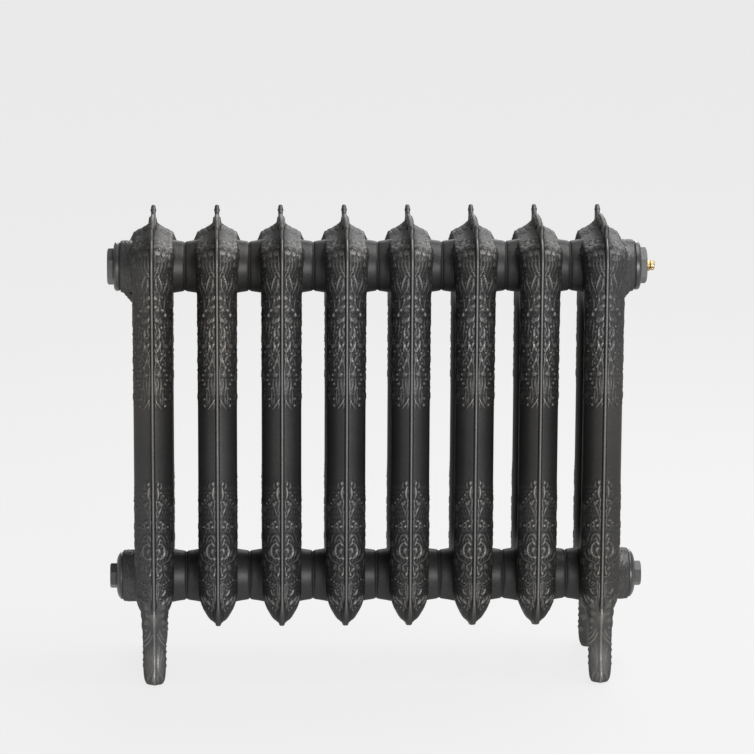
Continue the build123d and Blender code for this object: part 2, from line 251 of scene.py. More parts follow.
# --- relief ---
class Relief:
    """A map of the ornament's height over girth and height, in millimetres."""

    CELL = 0.25

    def __init__(self, girth_max, z_low, z_high):
        self.girths = np.arange(0, girth_max, self.CELL)
        self.levels = np.arange(z_low, z_high, self.CELL)
        self.height = np.zeros((len(self.levels), len(self.girths)))

    def raise_to(self, low, high, shape):
        """Raises the map to shape(girth, z) inside a box."""
        rows = slice(*np.searchsorted(self.levels, (low[1], high[1])))
        columns = slice(*np.searchsorted(self.girths, (low[0], high[0])))
        part = self.height[rows, columns]
        if part.size:
            girth, z = np.meshgrid(self.girths[columns], self.levels[rows])
            np.maximum(part, shape(girth, z), out=part)

    def bead(self, girth, z, radius, height=1.5, stretch=1.0, lean=0.0):
        """A round or long bead; lean turns its long axis from upright, in degrees."""
        c, s = math.cos(math.radians(lean)), math.sin(math.radians(lean))
        reach = radius * max(stretch, 1)

        def shape(g, level):
            along = (level - z) * c + (g - girth) * s
            across = (g - girth) * c - (level - z) * s
            inside = 1 - (along / (radius * stretch)) ** 2 - (across / radius) ** 2
            return height * np.sqrt(np.clip(inside, 0, None))

        self.raise_to((girth - reach, z - reach), (girth + reach, z + reach), shape)

    def stroke(self, points, width=2.0, height=1.2, start=0.45, end=0.35):
        """A rounded rib along a curve; start and end are its width there as a share of its middle."""
        line = smooth_curve(points, 6)
        low = line.min(0) - width
        high = line.max(0) + width
        lengths = np.hypot(*np.diff(line, axis=0).T)
        shares = np.concatenate([[0], np.cumsum(lengths)]) / max(lengths.sum(), 1e-6)

        def shape(g, level):
            best = np.zeros_like(g)
            for (p, q, s0, s1, length) in zip(line, line[1:], shares, shares[1:], lengths):
                if length < 1e-6:
                    continue
                d = (q - p) / length
                t = np.clip((g - p[0]) * d[0] + (level - p[1]) * d[1], 0, length)
                away = np.hypot(g - p[0] - t * d[0], level - p[1] - t * d[1])
                s = s0 + (s1 - s0) * t / length
                half = width / 2 * (start * (1 - s) ** 2 + 2.5 * s * (1 - s) + end * s * s)
                inside = np.clip(1 - (away / np.maximum(half, 0.05)) ** 2, 0, None)
                lift = height * np.clip(half / (width / 2), 0, 1) ** 0.5
                best = np.maximum(best, lift * np.sqrt(inside))
            return best

        self.raise_to(low, high, shape)

    def scroll(self, girth, z, radius, turn=0.0, hand=1, width=1.9, height=1.3, turns=1.35):
        """A spiral rib that winds in to a bead; turn is where it starts, in degrees."""
        t = np.linspace(0, 1, 14)
        angle = math.radians(turn) + hand * t * turns * 2 * math.pi
        r = radius * (1 - 0.8 * t)
        line = np.column_stack([girth + r * np.cos(angle), z + r * np.sin(angle)])
        self.stroke(line, width, height, 0.8, 0.7)
        self.bead(girth, z, radius * 0.3, height * 1.15)

    def leaf(self, root, tip, width, height=1.5, lobes=3):
        """A pointed leaf with a rib and short lobes slanting to its tip."""
        root, tip = np.array(root, float), np.array(tip, float)
        along = tip - root
        across = np.array([-along[1], along[0]]) / np.hypot(*along)
        self.stroke([root, (root + tip) / 2, tip], width * 0.5, height, 0.5, 0.2)
        for k in range(lobes):
            at = root + along * (0.12 + 0.6 * k / max(lobes, 1))
            size = width * (0.75 - 0.35 * k / max(lobes, 1))
            for side in (-1, 1):
                end = at + across * side * size + along * 0.28
                self.stroke([at, at + across * side * size * 0.6 + along * 0.08, end], width * 0.42,
                            height * 0.8, 0.5, 0.5)

    def soften(self, passes):
        """Rounds the feet of the ornament, as a sand mould does."""
        for _ in range(passes):
            for axis in (0, 1):
                ahead = np.roll(self.height, 1, axis)
                behind = np.roll(self.height, -1, axis)
                self.height = (ahead + 2 * self.height + behind) / 4

    def sample(self, girth, z):
        column = np.clip(girth / self.CELL, 0, len(self.girths) - 1.001)
        row = np.clip((z - self.levels[0]) / self.CELL, 0, len(self.levels) - 1.001)
        j, i = column.astype(int), row.astype(int)
        u, v = column - j, row - i
        h = self.height
        return ((h[i, j] * (1 - u) + h[i, j + 1] * u) * (1 - v)
                + (h[i + 1, j] * (1 - u) + h[i + 1, j + 1] * u) * v)


class FrontRelief(Relief):
    """A relief drawn by (x from the ridge, height), as seen from the front."""

    def seen(self, points):
        return [(float(girth_at(x, z)), z) for x, z in points]

    def rib(self, points, *size):
        self.stroke(self.seen(points), *size)

    def dot(self, x, z, *size):
        self.bead(float(girth_at(x, z)), z, *size)

    def curl(self, x, z, *size):
        self.scroll(float(girth_at(x, z)), z, *size)

    def petal(self, root, tip, *size):
        self.leaf(*self.seen([root, tip]), *size)


def shoulder_curls(relief):
    """The row of curls on the front of the roof, with bars hanging from it."""
    for x, z, radius, turn, hand in (
            (7.4, 571, 3.2, 250, 1), (14.6, 569, 3.4, 200, 1), (21.6, 565, 3.4, 180, 1),
            (4.8, 562, 2.8, 20, -1), (11.4, 561, 3.3, 120, 1), (18.6, 558, 3.4, 40, -1),
            (24.4, 555, 3.0, 60, 1), (8.0, 552, 3.0, 200, -1), (15.0, 550.6, 3.2, 40, 1),
            (22.0, 547, 3.4, 120, -1), (21.4, 538, 3.0, 60, 1)):
        relief.curl(x, z, radius, turn, hand, 1.6, 1.15)
    for line in (((4.3, 556), (4.2, 544), (4.3, 531)),
                 ((8.6, 546), (8.8, 538), (7.4, 530)),
                 ((12.4, 546), (12.9, 538), (11.4, 530)),
                 ((16.6, 544), (17.0, 538), (16.0, 531)),
                 ((24.8, 540), (25.2, 534), (23.8, 528))):
        relief.rib(line, 1.8, 1.0)
    for x, z in ((24, 537), (23.2, 528), (18.8, 526), (6.4, 551), (25.2, 548), (18.9, 550)):
        relief.dot(x, z, 1.3, 1.0)


def hooked_leaves(relief):
    """Hooks and slanting leaves under the curls."""
    relief.rib([(3.4, 523), (5.4, 529), (8.6, 529.4), (9.8, 525)], 1.9, 1.2)
    relief.rib([(8.4, 525), (9.9, 520), (11.4, 514), (12.9, 506.5)], 2.7, 1.8)
    relief.rib([(18.3, 523), (18.0, 516), (16.0, 510), (13.8, 503)], 2.2, 1.4)
    relief.rib([(5.2, 521), (5.2, 514), (6.8, 507), (10.0, 501)], 2.0, 1.3)
    relief.rib([(21.0, 518), (20.4, 509), (18.4, 501)], 2.0, 1.1)
    relief.rib([(10.6, 501), (9.4, 494), (10.8, 487), (13.2, 482)], 2.0, 1.2)
    relief.rib([(17.4, 499), (15.4, 491), (15.2, 484), (16.6, 477)], 1.9, 1.1)
    relief.petal((9.0, 487), (6.2, 477), 4.0, 1.3, 2)
    relief.curl(4.9, 497, 2.8, 90, 1)
    relief.curl(5.2, 486, 2.3, 270, -1)
    for x, z, radius in ((5.5, 513.6, 1.2), (14.2, 515, 1.3), (17.5, 515, 1.2), (9.6, 493.7, 1.5),
                         (12.6, 498, 1.2), (19.3, 493, 1.3)):
        relief.dot(x, z, radius, 1.4)


def flower_scrolls(relief):
    """The pair of scrolls with bright slanting beads over them, and the leaves below."""
    relief.dot(13.0, 481.7, 1.9, 2.0, 1.5, -35)
    relief.dot(16.0, 475.6, 1.8, 1.9, 1.8, -10)
    relief.curl(10.6, 468, 3.9, 60, 1)
    relief.curl(5.0, 469, 2.9, 120, -1)
    for x, z, radius, stretch in ((11.6, 460, 1.5, 1.3), (12.9, 453.5, 1.4, 1.2), (6.4, 447, 1.6, 1.4),
                                  (15.6, 461, 1.2, 1), (18.3, 466, 1.2, 1), (3.9, 460, 1.1, 1.5)):
        relief.dot(x, z, radius, 1.5, stretch)
    relief.rib([(8.3, 460), (9.4, 452), (8.4, 444)], 2.8, 1.8)
    relief.rib([(4.0, 465), (5.6, 456), (4.6, 449)], 1.9, 1.2)
    relief.rib([(15.8, 470), (14.9, 461), (16.4, 451), (15.4, 444)], 1.9, 1.1)
    relief.rib([(19.4, 473), (19.0, 462), (20.2, 452)], 1.8, 1.0)
    relief.rib([(12.2, 450), (13.6, 444), (17.2, 443)], 1.8, 1.1)


def heart_scrolls(relief):
    """A bud by the ridge, a tall bright leaf beside it and stems crossing under them."""
    relief.dot(4.6, 438, 1.9, 1.7, 2.0, -12)
    relief.rib([(3.2, 432), (4.4, 428.6), (7.2, 431), (7.4, 437)], 2.0, 1.4)
    relief.rib([(10.6, 442), (9.0, 436), (10.6, 429)], 3.2, 2.0, 0.4, 0.3)
    relief.rib([(10.8, 441), (13.6, 443), (14.4, 439), (12.8, 436.6)], 2.0, 1.2)
    relief.curl(17.0, 436, 3.1, 200, -1)
    relief.rib([(14.4, 433), (13.6, 429), (11.6, 426)], 2.0, 1.2)
    relief.rib([(17.6, 431), (15.6, 427), (11.4, 421), (8.9, 413)], 2.2, 1.3)
    relief.rib([(4.6, 428), (5.8, 423), (7.0, 417), (9.6, 410), (9.2, 404)], 2.3, 1.4)
    relief.rib([(3.4, 424), (4.4, 416), (4.0, 409)], 2.0, 1.1)
    relief.rib([(13.0, 422), (15.6, 416), (16.0, 410)], 2.0, 1.1)
    for x, z, radius, stretch in ((11.8, 427, 1.5, 1.1), (15.4, 424.6, 1.4, 1), (7.0, 417, 1.5, 1.9),
                                  (10.3, 409.6, 1.5, 1.6), (20.0, 429, 1.4, 1), (12.8, 414, 1.3, 1)):
        relief.dot(x, z, radius, 1.6, stretch)


def bead_fall(relief):
    """The long leaves that hang by the ridge, with a chain of beads outside them."""
    relief.curl(8.0, 400.6, 3.1, 90, -1)
    for x, z, lean in ((14.6, 406, 25), (16.9, 400, 15), (17.6, 393.6, 0), (15.6, 388.6, -30),
                       (12.6, 383, -25), (15.4, 369.6, 0), (15.2, 361, 0)):
        relief.dot(x, z, 1.45, 1.6, 1.35, lean)
    for width, *line in ((1.8, (3.4, 412), (3.1, 392), (3.6, 369)),
                         (2.0, (7.3, 396), (7.4, 387), (6.3, 375)),
                         (2.0, (10.6, 397), (10.9, 386), (9.3, 373)),
                         (1.7, (4.9, 392), (5.2, 381), (4.7, 371)),
                         (1.9, (12.4, 380), (13.0, 372), (12.4, 363)),
                         (1.7, (9.6, 372), (10.2, 366), (9.6, 361))):
        relief.rib(line, width, 1.15)
    relief.rib([(4.0, 368.5), (6.8, 362.5), (11.9, 356)], 2.3, 1.6, 0.8, 0.4)
    relief.rib([(3.7, 368), (4.0, 362), (4.8, 356.5)], 1.9, 1.2)


def palm_tips(relief):
    """The top of the lower band: a ring and a leaf by the ridge, with beads slanting away."""
    relief.dot(6.0, 261, 1.7, 1.5, 2.0, 20)
    relief.rib([(9.6, 263), (10.6, 258), (8.8, 254)], 2.0, 1.2)
    relief.rib([(5.2, 256), (6.2, 249), (5.0, 241)], 4.2, 1.7, 0.5, 0.4)
    for x, z in ((9.7, 250), (12.3, 246.2), (15.6, 240.6), (18.7, 235.8), (21.3, 230.6)):
        relief.dot(x, z, 1.45, 1.5, 1.25, -35)
    relief.rib([(9.6, 246), (13.6, 239), (17.6, 233), (20.6, 226)], 1.7, 0.9)
    relief.curl(10.2, 235.4, 3.0, 120, 1)
    relief.dot(7.2, 238, 1.3, 1.3)
    relief.rib([(4.0, 240), (4.2, 231), (6.2, 224)], 2.0, 1.3)
    relief.rib([(11.0, 230.4), (8.2, 226.6), (5.8, 219)], 2.1, 1.3)
    relief.rib([(4.0, 224), (4.1, 218), (5.6, 213)], 1.9, 1.1)


def jewel_cluster(relief):
    """Beads over a pointed arch."""
    for x, z, radius in ((8.8, 212.4, 1.6), (6.9, 205.8, 2.1), (17.0, 206.2, 1.6), (11.8, 210, 1.6),
                         (12.4, 204.6, 1.3), (20.6, 209, 1.2)):
        relief.dot(x, z, radius, 1.8)
    relief.rib([(3.7, 214), (3.8, 207), (4.6, 200)], 1.9, 1.2)
    relief.rib([(10.4, 214), (11.0, 206), (9.4, 199)], 1.9, 1.1)
    relief.rib([(13.6, 212), (15.0, 205), (13.6, 198)], 1.7, 1.0)
    relief.rib([(3.5, 186), (5.4, 191.5), (9.0, 195.4), (12.8, 191), (15.4, 181.5)], 1.9, 1.3)
    relief.rib([(6.4, 184), (9.1, 190), (12.0, 184)], 1.8, 1.2)
    relief.rib([(15.6, 198), (17.6, 190), (18.8, 181)], 1.8, 1.0)


def cartouche(relief):
    """Two open leaf scrolls back to back by the ridge, a long outer arc and a curve that hangs from it."""
    relief.rib([(4.4, 181), (8.0, 184.6), (12.4, 180), (12.8, 171), (9.0, 165.4), (5.0, 166.6)],
                  2.7, 1.8, 0.5, 0.8)
    relief.dot(7.4, 174.6, 2.3, 1.1, 1.8)
    relief.petal((15.0, 168), (17.6, 178), 4.4, 1.4, 2)
    relief.dot(4.2, 164.6, 1.9, 1.8, 1.2)
    relief.rib([(20.6, 180), (20.4, 171), (17.8, 163.6), (13.4, 160), (9.0, 158.6)], 2.3, 1.5)
    relief.rib([(21.6, 160), (21.2, 152), (19.6, 145)], 2.0, 1.1)
    relief.petal((12.6, 157), (17.0, 150), 4.2, 1.4, 2)
    relief.rib([(3.9, 161), (5.8, 157.4), (9.2, 154.6), (9.2, 150), (6.6, 147)], 2.2, 1.4)
    relief.dot(4.8, 144, 2.1, 1.8, 1.3)
    relief.rib([(3.6, 153), (3.8, 148), (4.6, 143)], 2.0, 1.2)
    relief.rib([(11.4, 145.6), (7.6, 140.6), (3.6, 139)], 2.1, 1.2)
    relief.rib([(13.4, 147), (15.4, 142), (19.0, 141)], 2.0, 1.2)


def keel_fan(relief):
    """The fan of ribs and petals that closes the casting at its keel."""
    for x, z in ((21.6, 136.6), (18.2, 137.4), (15.0, 134.6), (12.0, 132.0)):
        relief.dot(x, z, 1.4, 1.5)
    relief.rib([(17.0, 131.4), (12.6, 127.8), (8.0, 131.6), (4.0, 135)], 1.8, 1.2)
    for x in (3.5, 6.0):
        relief.rib([(x, 132), (x - 0.3, 121), (x * 0.55 + 0.8, 108)], 1.9, 1.1)
    for root, tip in (((9.6, 116), (13.9, 125)), ((11.4, 107), (17.6, 116.4)), ((8.4, 104), (12.6, 111.4)),
                      ((15.0, 104.6), (20.6, 118))):
        middle = ((root[0] + tip[0]) / 2 + 0.8, (root[1] + tip[1]) / 2)
        relief.rib([root, middle, tip], 2.6, 1.6, 0.3, 0.7)
    for x, z in ((10.6, 124), (8.0, 113), (15.7, 110.6), (11.6, 101.4), (15.4, 97.4), (8.2, 98)):
        relief.dot(x, z, 1.3, 1.3)
    relief.rib([(6.4, 112), (6.6, 105), (4.4, 98)], 1.9, 1.1)


def flank_vine(relief, z_low, z_high):
    """A winding stem with scrolls and leaves over the side of a column, where the front is out of sight."""
    middle, swing, wave = 37.0, 4.2, 46.0
    z = np.arange(z_low, z_high, 4.0)
    relief.stroke(np.column_stack([middle + swing * np.sin(2 * math.pi * z / wave), z]), 2.2, 1.0, 0.6, 0.6)
    for k in range(int((z_high - z_low) / (wave / 2))):
        side = 1 if k % 2 else -1
        at = z_low + wave / 2 * (k + 0.5)
        relief.scroll(middle - side * 5.0, at, 4.6, 90 + 90 * side, side, 2.3, 1.2)
        relief.leaf((middle + side * 3.0, at - 5), (middle + side * 8.5, at + 5), 5.0, 1.1, 2)
        relief.bead(middle + side * 8.0, at + 9.5, 1.8, 1.2)


def fill_leaves(relief, low, high):
    """Low slanting leaves over a whole band, which show between its larger shapes."""
    across, up = 4.6, 6.2
    for row in range(int((high - low) / up)):
        z = low + up * (row + 0.5)
        for column in range(10):
            girth = 3.4 + across * (column + 0.5 * (row % 2))
            lean = math.radians(58 + 34 * math.sin(1.9 * row + 0.8 * column))
            dx, dz = 3.0 * math.cos(lean), 3.0 * math.sin(lean)
            relief.stroke([(girth - dx, z - dz), (girth + 0.5, z), (girth + dx, z + dz)], 2.3, 0.5, 0.3, 0.3)


def casting_relief():
    """The ornament on a quarter of a section, as seen from the front."""
    relief = FrontRelief(SIDE_GIRTH + 2, BODY_LOW_Z - 2, SEEN_TOP_Z)
    fill_leaves(relief, *UPPER_BAND)
    fill_leaves(relief, *LOWER_BAND)
    for part in (shoulder_curls, hooked_leaves, flower_scrolls, heart_scrolls, bead_fall, palm_tips,
                 jewel_cluster, cartouche, keel_fan):
        part(relief)
    flank_vine(relief, *UPPER_VINE)
    flank_vine(relief, *LOWER_VINE)
    relief.soften(1)
    return relief


def roof_relief():
    """Curls along the shoulder: girth runs back along it, height up the slope of the roof."""
    relief = Relief(SIDE_GIRTH + COLUMN_Y + 2, SHOULDER_LOW_Z, SHOULDER_LOW_Z + 60)
    for slope, last in ((553, 102), (560.5, 84), (568, 72), (575, 62)):
        for k, at in enumerate(np.arange(3 + slope % 5, last, 8.2)):
            relief.scroll(at, slope, 3.5, 70 + 110 * (k % 3), 1 if k % 2 else -1, 1.9, 1.4)
            relief.stroke([(at + 2.6, slope - 3.6), (at + 4.6, slope), (at + 3.6, slope + 3.4)], 1.8, 1.1)
    spacing = 9.4
    for k in range(11):
        at = 8 + spacing * k
        relief.scroll(at, 541.5, 4.0, 40 + 130 * (k % 2), 1 if k % 2 else -1, 2.0, 1.3)
        relief.stroke([(at + 3.6, 535), (at + 5.2, 541), (at + 4.0, 547)], 2.0, 1.0)
        relief.stroke([(at - 3, 549), (at + 1.4, 551), (at + 4.6, 548)], 1.8, 0.7)
        relief.bead(at + 4.8, 549.5, 1.3, 0.8)
    relief.soften(1)
    return relief


def leg_relief():
    """The ornament on half of a leg's face: knee bead, paired grooves, a star leaf and the toe."""
    relief = Relief(60, -2, LEG_TOP_Z + 4)
    relief.bead(14.5, 71, 2.0, 1.3)
    for at, z, hand in ((15.5, 101, 1), (13.6, 91, -1), (16.4, 81, 1)):
        relief.scroll(at, z, 3.6, 90, hand, 1.9, 1.0)
        relief.leaf((at - 5, z - 4), (at - 3, z + 4), 3.0, 0.8, 2)
    relief.stroke([(5.2, 66), (8.5, 58), (15.5, 50), (21, 47)], 2.2, 1.6, 0.6, 0.6)
    relief.stroke([(7.6, 70), (11.5, 61), (18.5, 54)], 2.2, 1.5, 0.6, 0.6)
    relief.stroke([(13, 66), (17, 62), (21, 60)], 2.0, 1.1)
    for tip in ((4.4, 50), (7.6, 49), (11.6, 45), (14.6, 39), (16.4, 32), (16.0, 25), (13.4, 18)):
        root = (3.4, 14)
        middle = ((root[0] + tip[0]) / 2 + 1.4, (root[1] + tip[1]) / 2 - 2)
        relief.stroke([root, middle, tip], 2.4, 0.55, 0.3, 0.9)
    for z in (40, 31, 23):
        relief.bead(20.5, z, 1.8, 1.1)
    relief.stroke([(3.2, 17), (4.6, 10), (6.0, 4)], 3.0, 1.3)
    relief.stroke([(9.5, 16), (12, 10), (12, 4)], 2.8, 1.1)
    for k in range(5):
        relief.scroll(31, 88 - 16 * k, 3.8, 90 * k, 1 if k % 2 else -1, 2.2, 1.0)
    relief.soften(2)
    return relief


# --- grids and shells ---
def quads(rows, columns, wrap=False):
    """Faces of a grid of points, as rows of four indices; wrap closes it across its columns."""
    i = np.arange(rows - 1)[:, None]
    j = np.arange(columns if wrap else columns - 1)[None, :]
    ahead = (j + 1) % columns
    corners = [i * columns + j, i * columns + ahead, (i + 1) * columns + ahead, (i + 1) * columns + j]
    return np.stack(np.broadcast_arrays(*corners), -1).reshape(-1, 4)


def grid_normals(points):
    """Unit normals of a grid of points, by its slopes along rows and columns."""
    normal = np.cross(np.gradient(points, axis=1), np.gradient(points, axis=0))
    return normal / np.maximum(np.linalg.norm(normal, axis=2, keepdims=True), 1e-9)


class Shell:
    """Points, faces and a brightness per point of a closed surface, to be joined with others into one piece;
    the brightness is partly rubbing and partly painted highlight and shade.
    """

    def __init__(self, points, faces, wear_and_light):
        self.points = np.asarray(points, float).reshape(-1, 3)
        self.faces = np.asarray(faces, int)
        self.wear_and_light = np.broadcast_to(np.asarray(wear_and_light, float).reshape(-1), (len(self.points),))

    def mirrored(self, axis):
        flip = np.ones(3)
        flip[axis] = -1
        return Shell(self.points * flip, self.faces[:, ::-1], self.wear_and_light)

    def moved(self, x=0.0, y=0.0, z=0.0):
        return Shell(self.points + (x, y, z), self.faces, self.wear_and_light)


def joined(shells):
    """One shell of several."""
    offsets = np.cumsum([0] + [len(s.points) for s in shells[:-1]])
    return Shell(np.vstack([s.points for s in shells]),
                 np.vstack([s.faces + o for s, o in zip(shells, offsets)]),
                 np.concatenate([s.wear_and_light for s in shells]))


def looped(points, wear_and_light):
    """A grid of points that closes on itself along its rows and along its columns."""
    wear_and_light = np.broadcast_to(wear_and_light, points.shape[:2])
    faces = quads(len(points) + 1, points.shape[1], wrap=True)
    return Shell(np.concatenate([points, points[:1]]), faces, np.concatenate([wear_and_light, wear_and_light[:1]]))


def capped(points, wear_and_light):
    """A tube of points, closed at both ends by a fan to the middle of its first and last row."""
    tube = Shell(points, quads(*points.shape[:2], wrap=True), np.broadcast_to(wear_and_light, points.shape[:2]))
    count, columns = len(tube.points), points.shape[1]
    first = np.arange(columns)
    last = np.arange(count - columns, count)
    middles = np.vstack([tube.points[first].mean(0), tube.points[last].mean(0)])
    fans = []
    for rim, centre in ((first, count), (last, count + 1)):
        middle = np.full(columns, centre)
        fans.append(np.column_stack([rim, np.roll(rim, -1), middle, middle]))
    return Shell(np.vstack([tube.points, middles]), np.vstack([tube.faces] + fans),
                 np.concatenate([tube.wear_and_light, tube.wear_and_light[[0, -1]]]))


def turned(profile, z=0.0, segments=72, wear_and_light=0.25):
    """A closed profile of (x, radius) points turned about the hub axis at height z."""
    profile = np.array(profile, float)
    angle = np.linspace(0, 2 * math.pi, segments, endpoint=False)
    x = np.broadcast_to(profile[:, 0:1], (len(profile), segments))
    r = profile[:, 1:2]
    return looped(np.stack([x, r * np.cos(angle), z + r * np.sin(angle)], -1), wear_and_light)


def levels(*spans):
    """Heights from (low, high, step) spans that follow on from each other."""
    parts = []
    for low, high, step in spans:
        parts.append(np.linspace(low, high, max(2, round((high - low) / step) + 1))[:-1])
    return np.concatenate(parts + [[spans[-1][1]]])


# --- the body of a section ---
def slot_edge(z):
    """Where the row of points that starts at height z meets the slot, or the middle plane."""
    turn = np.clip((z - FAN_HIGH_Z) / FAN_SPAN, 0, 1) * math.pi / 2
    turn_low = np.clip((FAN_LOW_Z - z) / FAN_SPAN, 0, 1) * math.pi / 2
    y = -SLOT_HALF_Y * np.cos(turn) * np.cos(turn_low)
    climb = np.clip(z, FAN_LOW_Z, FAN_HIGH_Z) - FAN_LOW_Z
    straight = SLOT_LOW_Z + climb * (SLOT_HIGH_Z - SLOT_LOW_Z) / (FAN_HIGH_Z - FAN_LOW_Z)
    rise = SLOT_HALF_Y * (np.sin(turn) - np.sin(turn_low))
    slot_top, fan_top = SLOT_HIGH_Z + SLOT_HALF_Y, FAN_HIGH_Z + FAN_SPAN
    slot_foot, fan_foot = SLOT_LOW_Z - SLOT_HALF_Y, FAN_LOW_Z - FAN_SPAN
    beyond = (ROOF_Z - slot_top) / (ROOF_Z - fan_top) * np.clip(z - fan_top, 0, None)
    beyond -= (slot_foot - BODY_LOW_Z) / (fan_foot - BODY_LOW_Z) * np.clip(fan_foot - z, 0, None)
    return y, straight + rise + beyond


def slot_distance(y, z):
    """How far a point of the section's middle plane is outside the slot."""
    outside = np.clip(SLOT_LOW_Z - z, 0, None) + np.clip(z - SLOT_HIGH_Z, 0, None)
    return np.clip(np.hypot(y, outside) - SLOT_HALF_Y, 0, None)


def roof_slope(z):
    """Length up the front outline from the foot of the shoulder to the labelled height."""
    label = np.linspace(SHOULDER_LOW_Z, ROOF_Z, 300)
    steps = np.hypot(np.diff(label), np.diff(half_width(label)))
    return np.interp(z, label, np.concatenate([[0], np.cumsum(steps)]))


def plain_grid(z, girths, inner_shares):
    """Part of the front right quarter without ornament: from the ridge round the column and inwards.

    Gives its points, their labels on the front outline and their lengths from the ridge.
    """
    label, girth = np.meshgrid(z, girths, indexing="ij")
    angle = np.interp(girth, _GIRTHS, _ANGLES)
    depth = -COLUMN_Y - (BODY_Y - COLUMN_Y) * np.cos(angle)
    front = np.stack([half_width(label) * np.sin(angle), depth, label], -1)

    edge_y, edge_z = slot_edge(z)
    s = inner_shares[None, :]
    inner_y = -COLUMN_Y * (1 - s) + edge_y[:, None] * s
    inner_z = z[:, None] * (1 - s) + edge_z[:, None] * s
    round_r = COLUMN_Y - SLOT_HALF_Y
    near = 1 - np.clip(slot_distance(inner_y, inner_z), 0, round_r) / round_r
    inner_x = half_width(inner_z) * np.sqrt(np.clip(1 - near ** 2, 0, None))
    inner_x[:, -1] = np.where(near[:, -1] > 0.999, 0, inner_x[:, -1])
    points = np.concatenate([front, np.stack([inner_x, inner_y, inner_z], -1)], axis=1)
    labels = points[..., 2].copy()
    points[..., 2] = bent(points[..., 1], labels)
    return points, labels, np.concatenate([girth, SIDE_GIRTH + COLUMN_Y + inner_y], axis=1)


def body_grid(reliefs, z, girths, inner_shares):
    """Points of part of the front right quarter, with its ornament, and their brightness: raised parts rubbed
    and given a painted highlight, hollows given painted shade.
    """
    front_relief, top_relief = reliefs
    outside = len(girths)
    points, labels, length = plain_grid(z, girths, inner_shares)
    outward = grid_normals(points)
    outward *= np.sign(outward[:, outside // 2, 0].mean())

    x, y, height_z = np.moveaxis(points, -1, 0)
    seen_z = seen_height(y, height_z)
    shoulder = labels > SHOULDER_LOW_Z
    facing = smooth_step(-y, *FRONT_FADE) * shoulder + ~shoulder
    facing[:, outside:] *= shoulder[:, outside:]
    on_roof = (1 - facing) * shoulder
    front_girth = girth_at(np.clip(x, 0, None), seen_z)
    slope = SHOULDER_LOW_Z + roof_slope(labels)
    height = facing * front_relief.sample(front_girth, seen_z) + on_roof * top_relief.sample(length, slope)
    # painted shade: the colour is darkened where a point lies deep between raised parts
    painted_hollow_shade = facing * hollow(front_relief, front_girth, seen_z) + on_roof * hollow(top_relief, length, slope)
    height *= LIFT * smooth_step(x, *RIDGE_FADE)
    height[:, :outside] *= 1 - SIDE_CALM * smooth_step(girths, *SIDE_FADE)
    calm = 1 - ROOF_CALM * (smooth_step(labels, *SLOPE_LABELS) * smooth_step(y, *SLOPE_DEPTHS))
    # raised ornament is brightened, partly as rubbing and partly as painted highlight, and hollows are
    # darkened as painted shade
    wear_and_light = BODY_WEAR_AND_LIGHT + RUB_AND_HIGHLIGHT * calm * np.clip(height / FULL_HIGHLIGHT_HEIGHT, 0, 1.3) - HOLLOW_PAINTED_SHADE * painted_hollow_shade
    height *= calm
    moved = points + outward * height[..., None]
    moved[:, 0, 0] = 0
    moved[:, -1, 1] = points[:, -1, 1]
    return moved, wear_and_light


def hollow(relief, girth, z):
    """How deep a point lies between raised parts near it, from 0 to 1."""
    reach = 1.6
    sides = ((reach, 0), (-reach, 0), (0, reach), (0, -reach))
    around = [relief.sample(girth + across, z + up) for across, up in sides]
    return np.clip(np.mean(around, axis=0) - relief.sample(girth, z), 0, 1)


def stitched(coarse, fine, share):
    """Faces between a row of points and a row with share times as many steps in its last columns."""
    plain = len(coarse) - (len(fine) - len(coarse)) // (share - 1)
    faces = [(coarse[k], coarse[k + 1], fine[k + 1], fine[k]) for k in range(plain - 1)]
    for k in range(plain - 1, len(coarse) - 1):
        first = plain - 1 + share * (k - plain + 1)
        faces += [(coarse[k], fine[j + 1], fine[j], fine[j]) for j in range(first, first + share)]
        faces.append((coarse[k], coarse[k + 1], fine[first + share], fine[first + share]))
    return np.array(faces)


def body(reliefs):
    """The whole body, in one closed shell."""
    low = levels((BODY_LOW_Z, HUB_LOW_Z, 1.3), (HUB_LOW_Z, PLAIN_LOW_Z, 1.2),
                 (PLAIN_LOW_Z, PLAIN_HIGH_Z, 8), (PLAIN_HIGH_Z, SHOULDER_LOW_Z, 1.2))
    lengths = np.linspace(0, roof_slope(ROOF_Z), 38)[1:]
    label = np.linspace(SHOULDER_LOW_Z, ROOF_Z, 300)
    high = np.interp(lengths, roof_slope(label), label)
    girths = levels((0, 27, 1.0), (27, SIDE_GIRTH, 1.9))
    coarse, share = 6, 6
    low_points, low_wear_and_light = body_grid(reliefs, low, girths, np.linspace(0, 1, coarse + 1)[1:])
    high_points, high_wear_and_light = body_grid(reliefs, high, girths, np.linspace(0, 1, coarse * share + 1)[1:])
    count = low_points.shape[0] * low_points.shape[1]
    last = np.arange(count - low_points.shape[1], count)
    first = count + np.arange(high_points.shape[1])
    faces = np.vstack([quads(*low_points.shape[:2]), quads(*high_points.shape[:2]) + count,
                       stitched(last, first, share)])
    points = np.concatenate([low_points.reshape(-1, 3), high_points.reshape(-1, 3)])
    quarter = Shell(points, faces, np.concatenate([low_wear_and_light.ravel(), high_wear_and_light.ravel()]))
    half = joined([quarter, quarter.mirrored(0)])
    return joined([half, half.mirrored(1)])


# --- ridge and crest ---
RIDGE_HALVES = np.array([0.0, 0.75, 1.2, 1.5, 1.8, 2.1, 2.9, 3.4])
RIDGE_DEPTHS = np.array([0.0, 0.12, 0.45, 1.1, 2.7, 4.2, 5.0, 7.0])
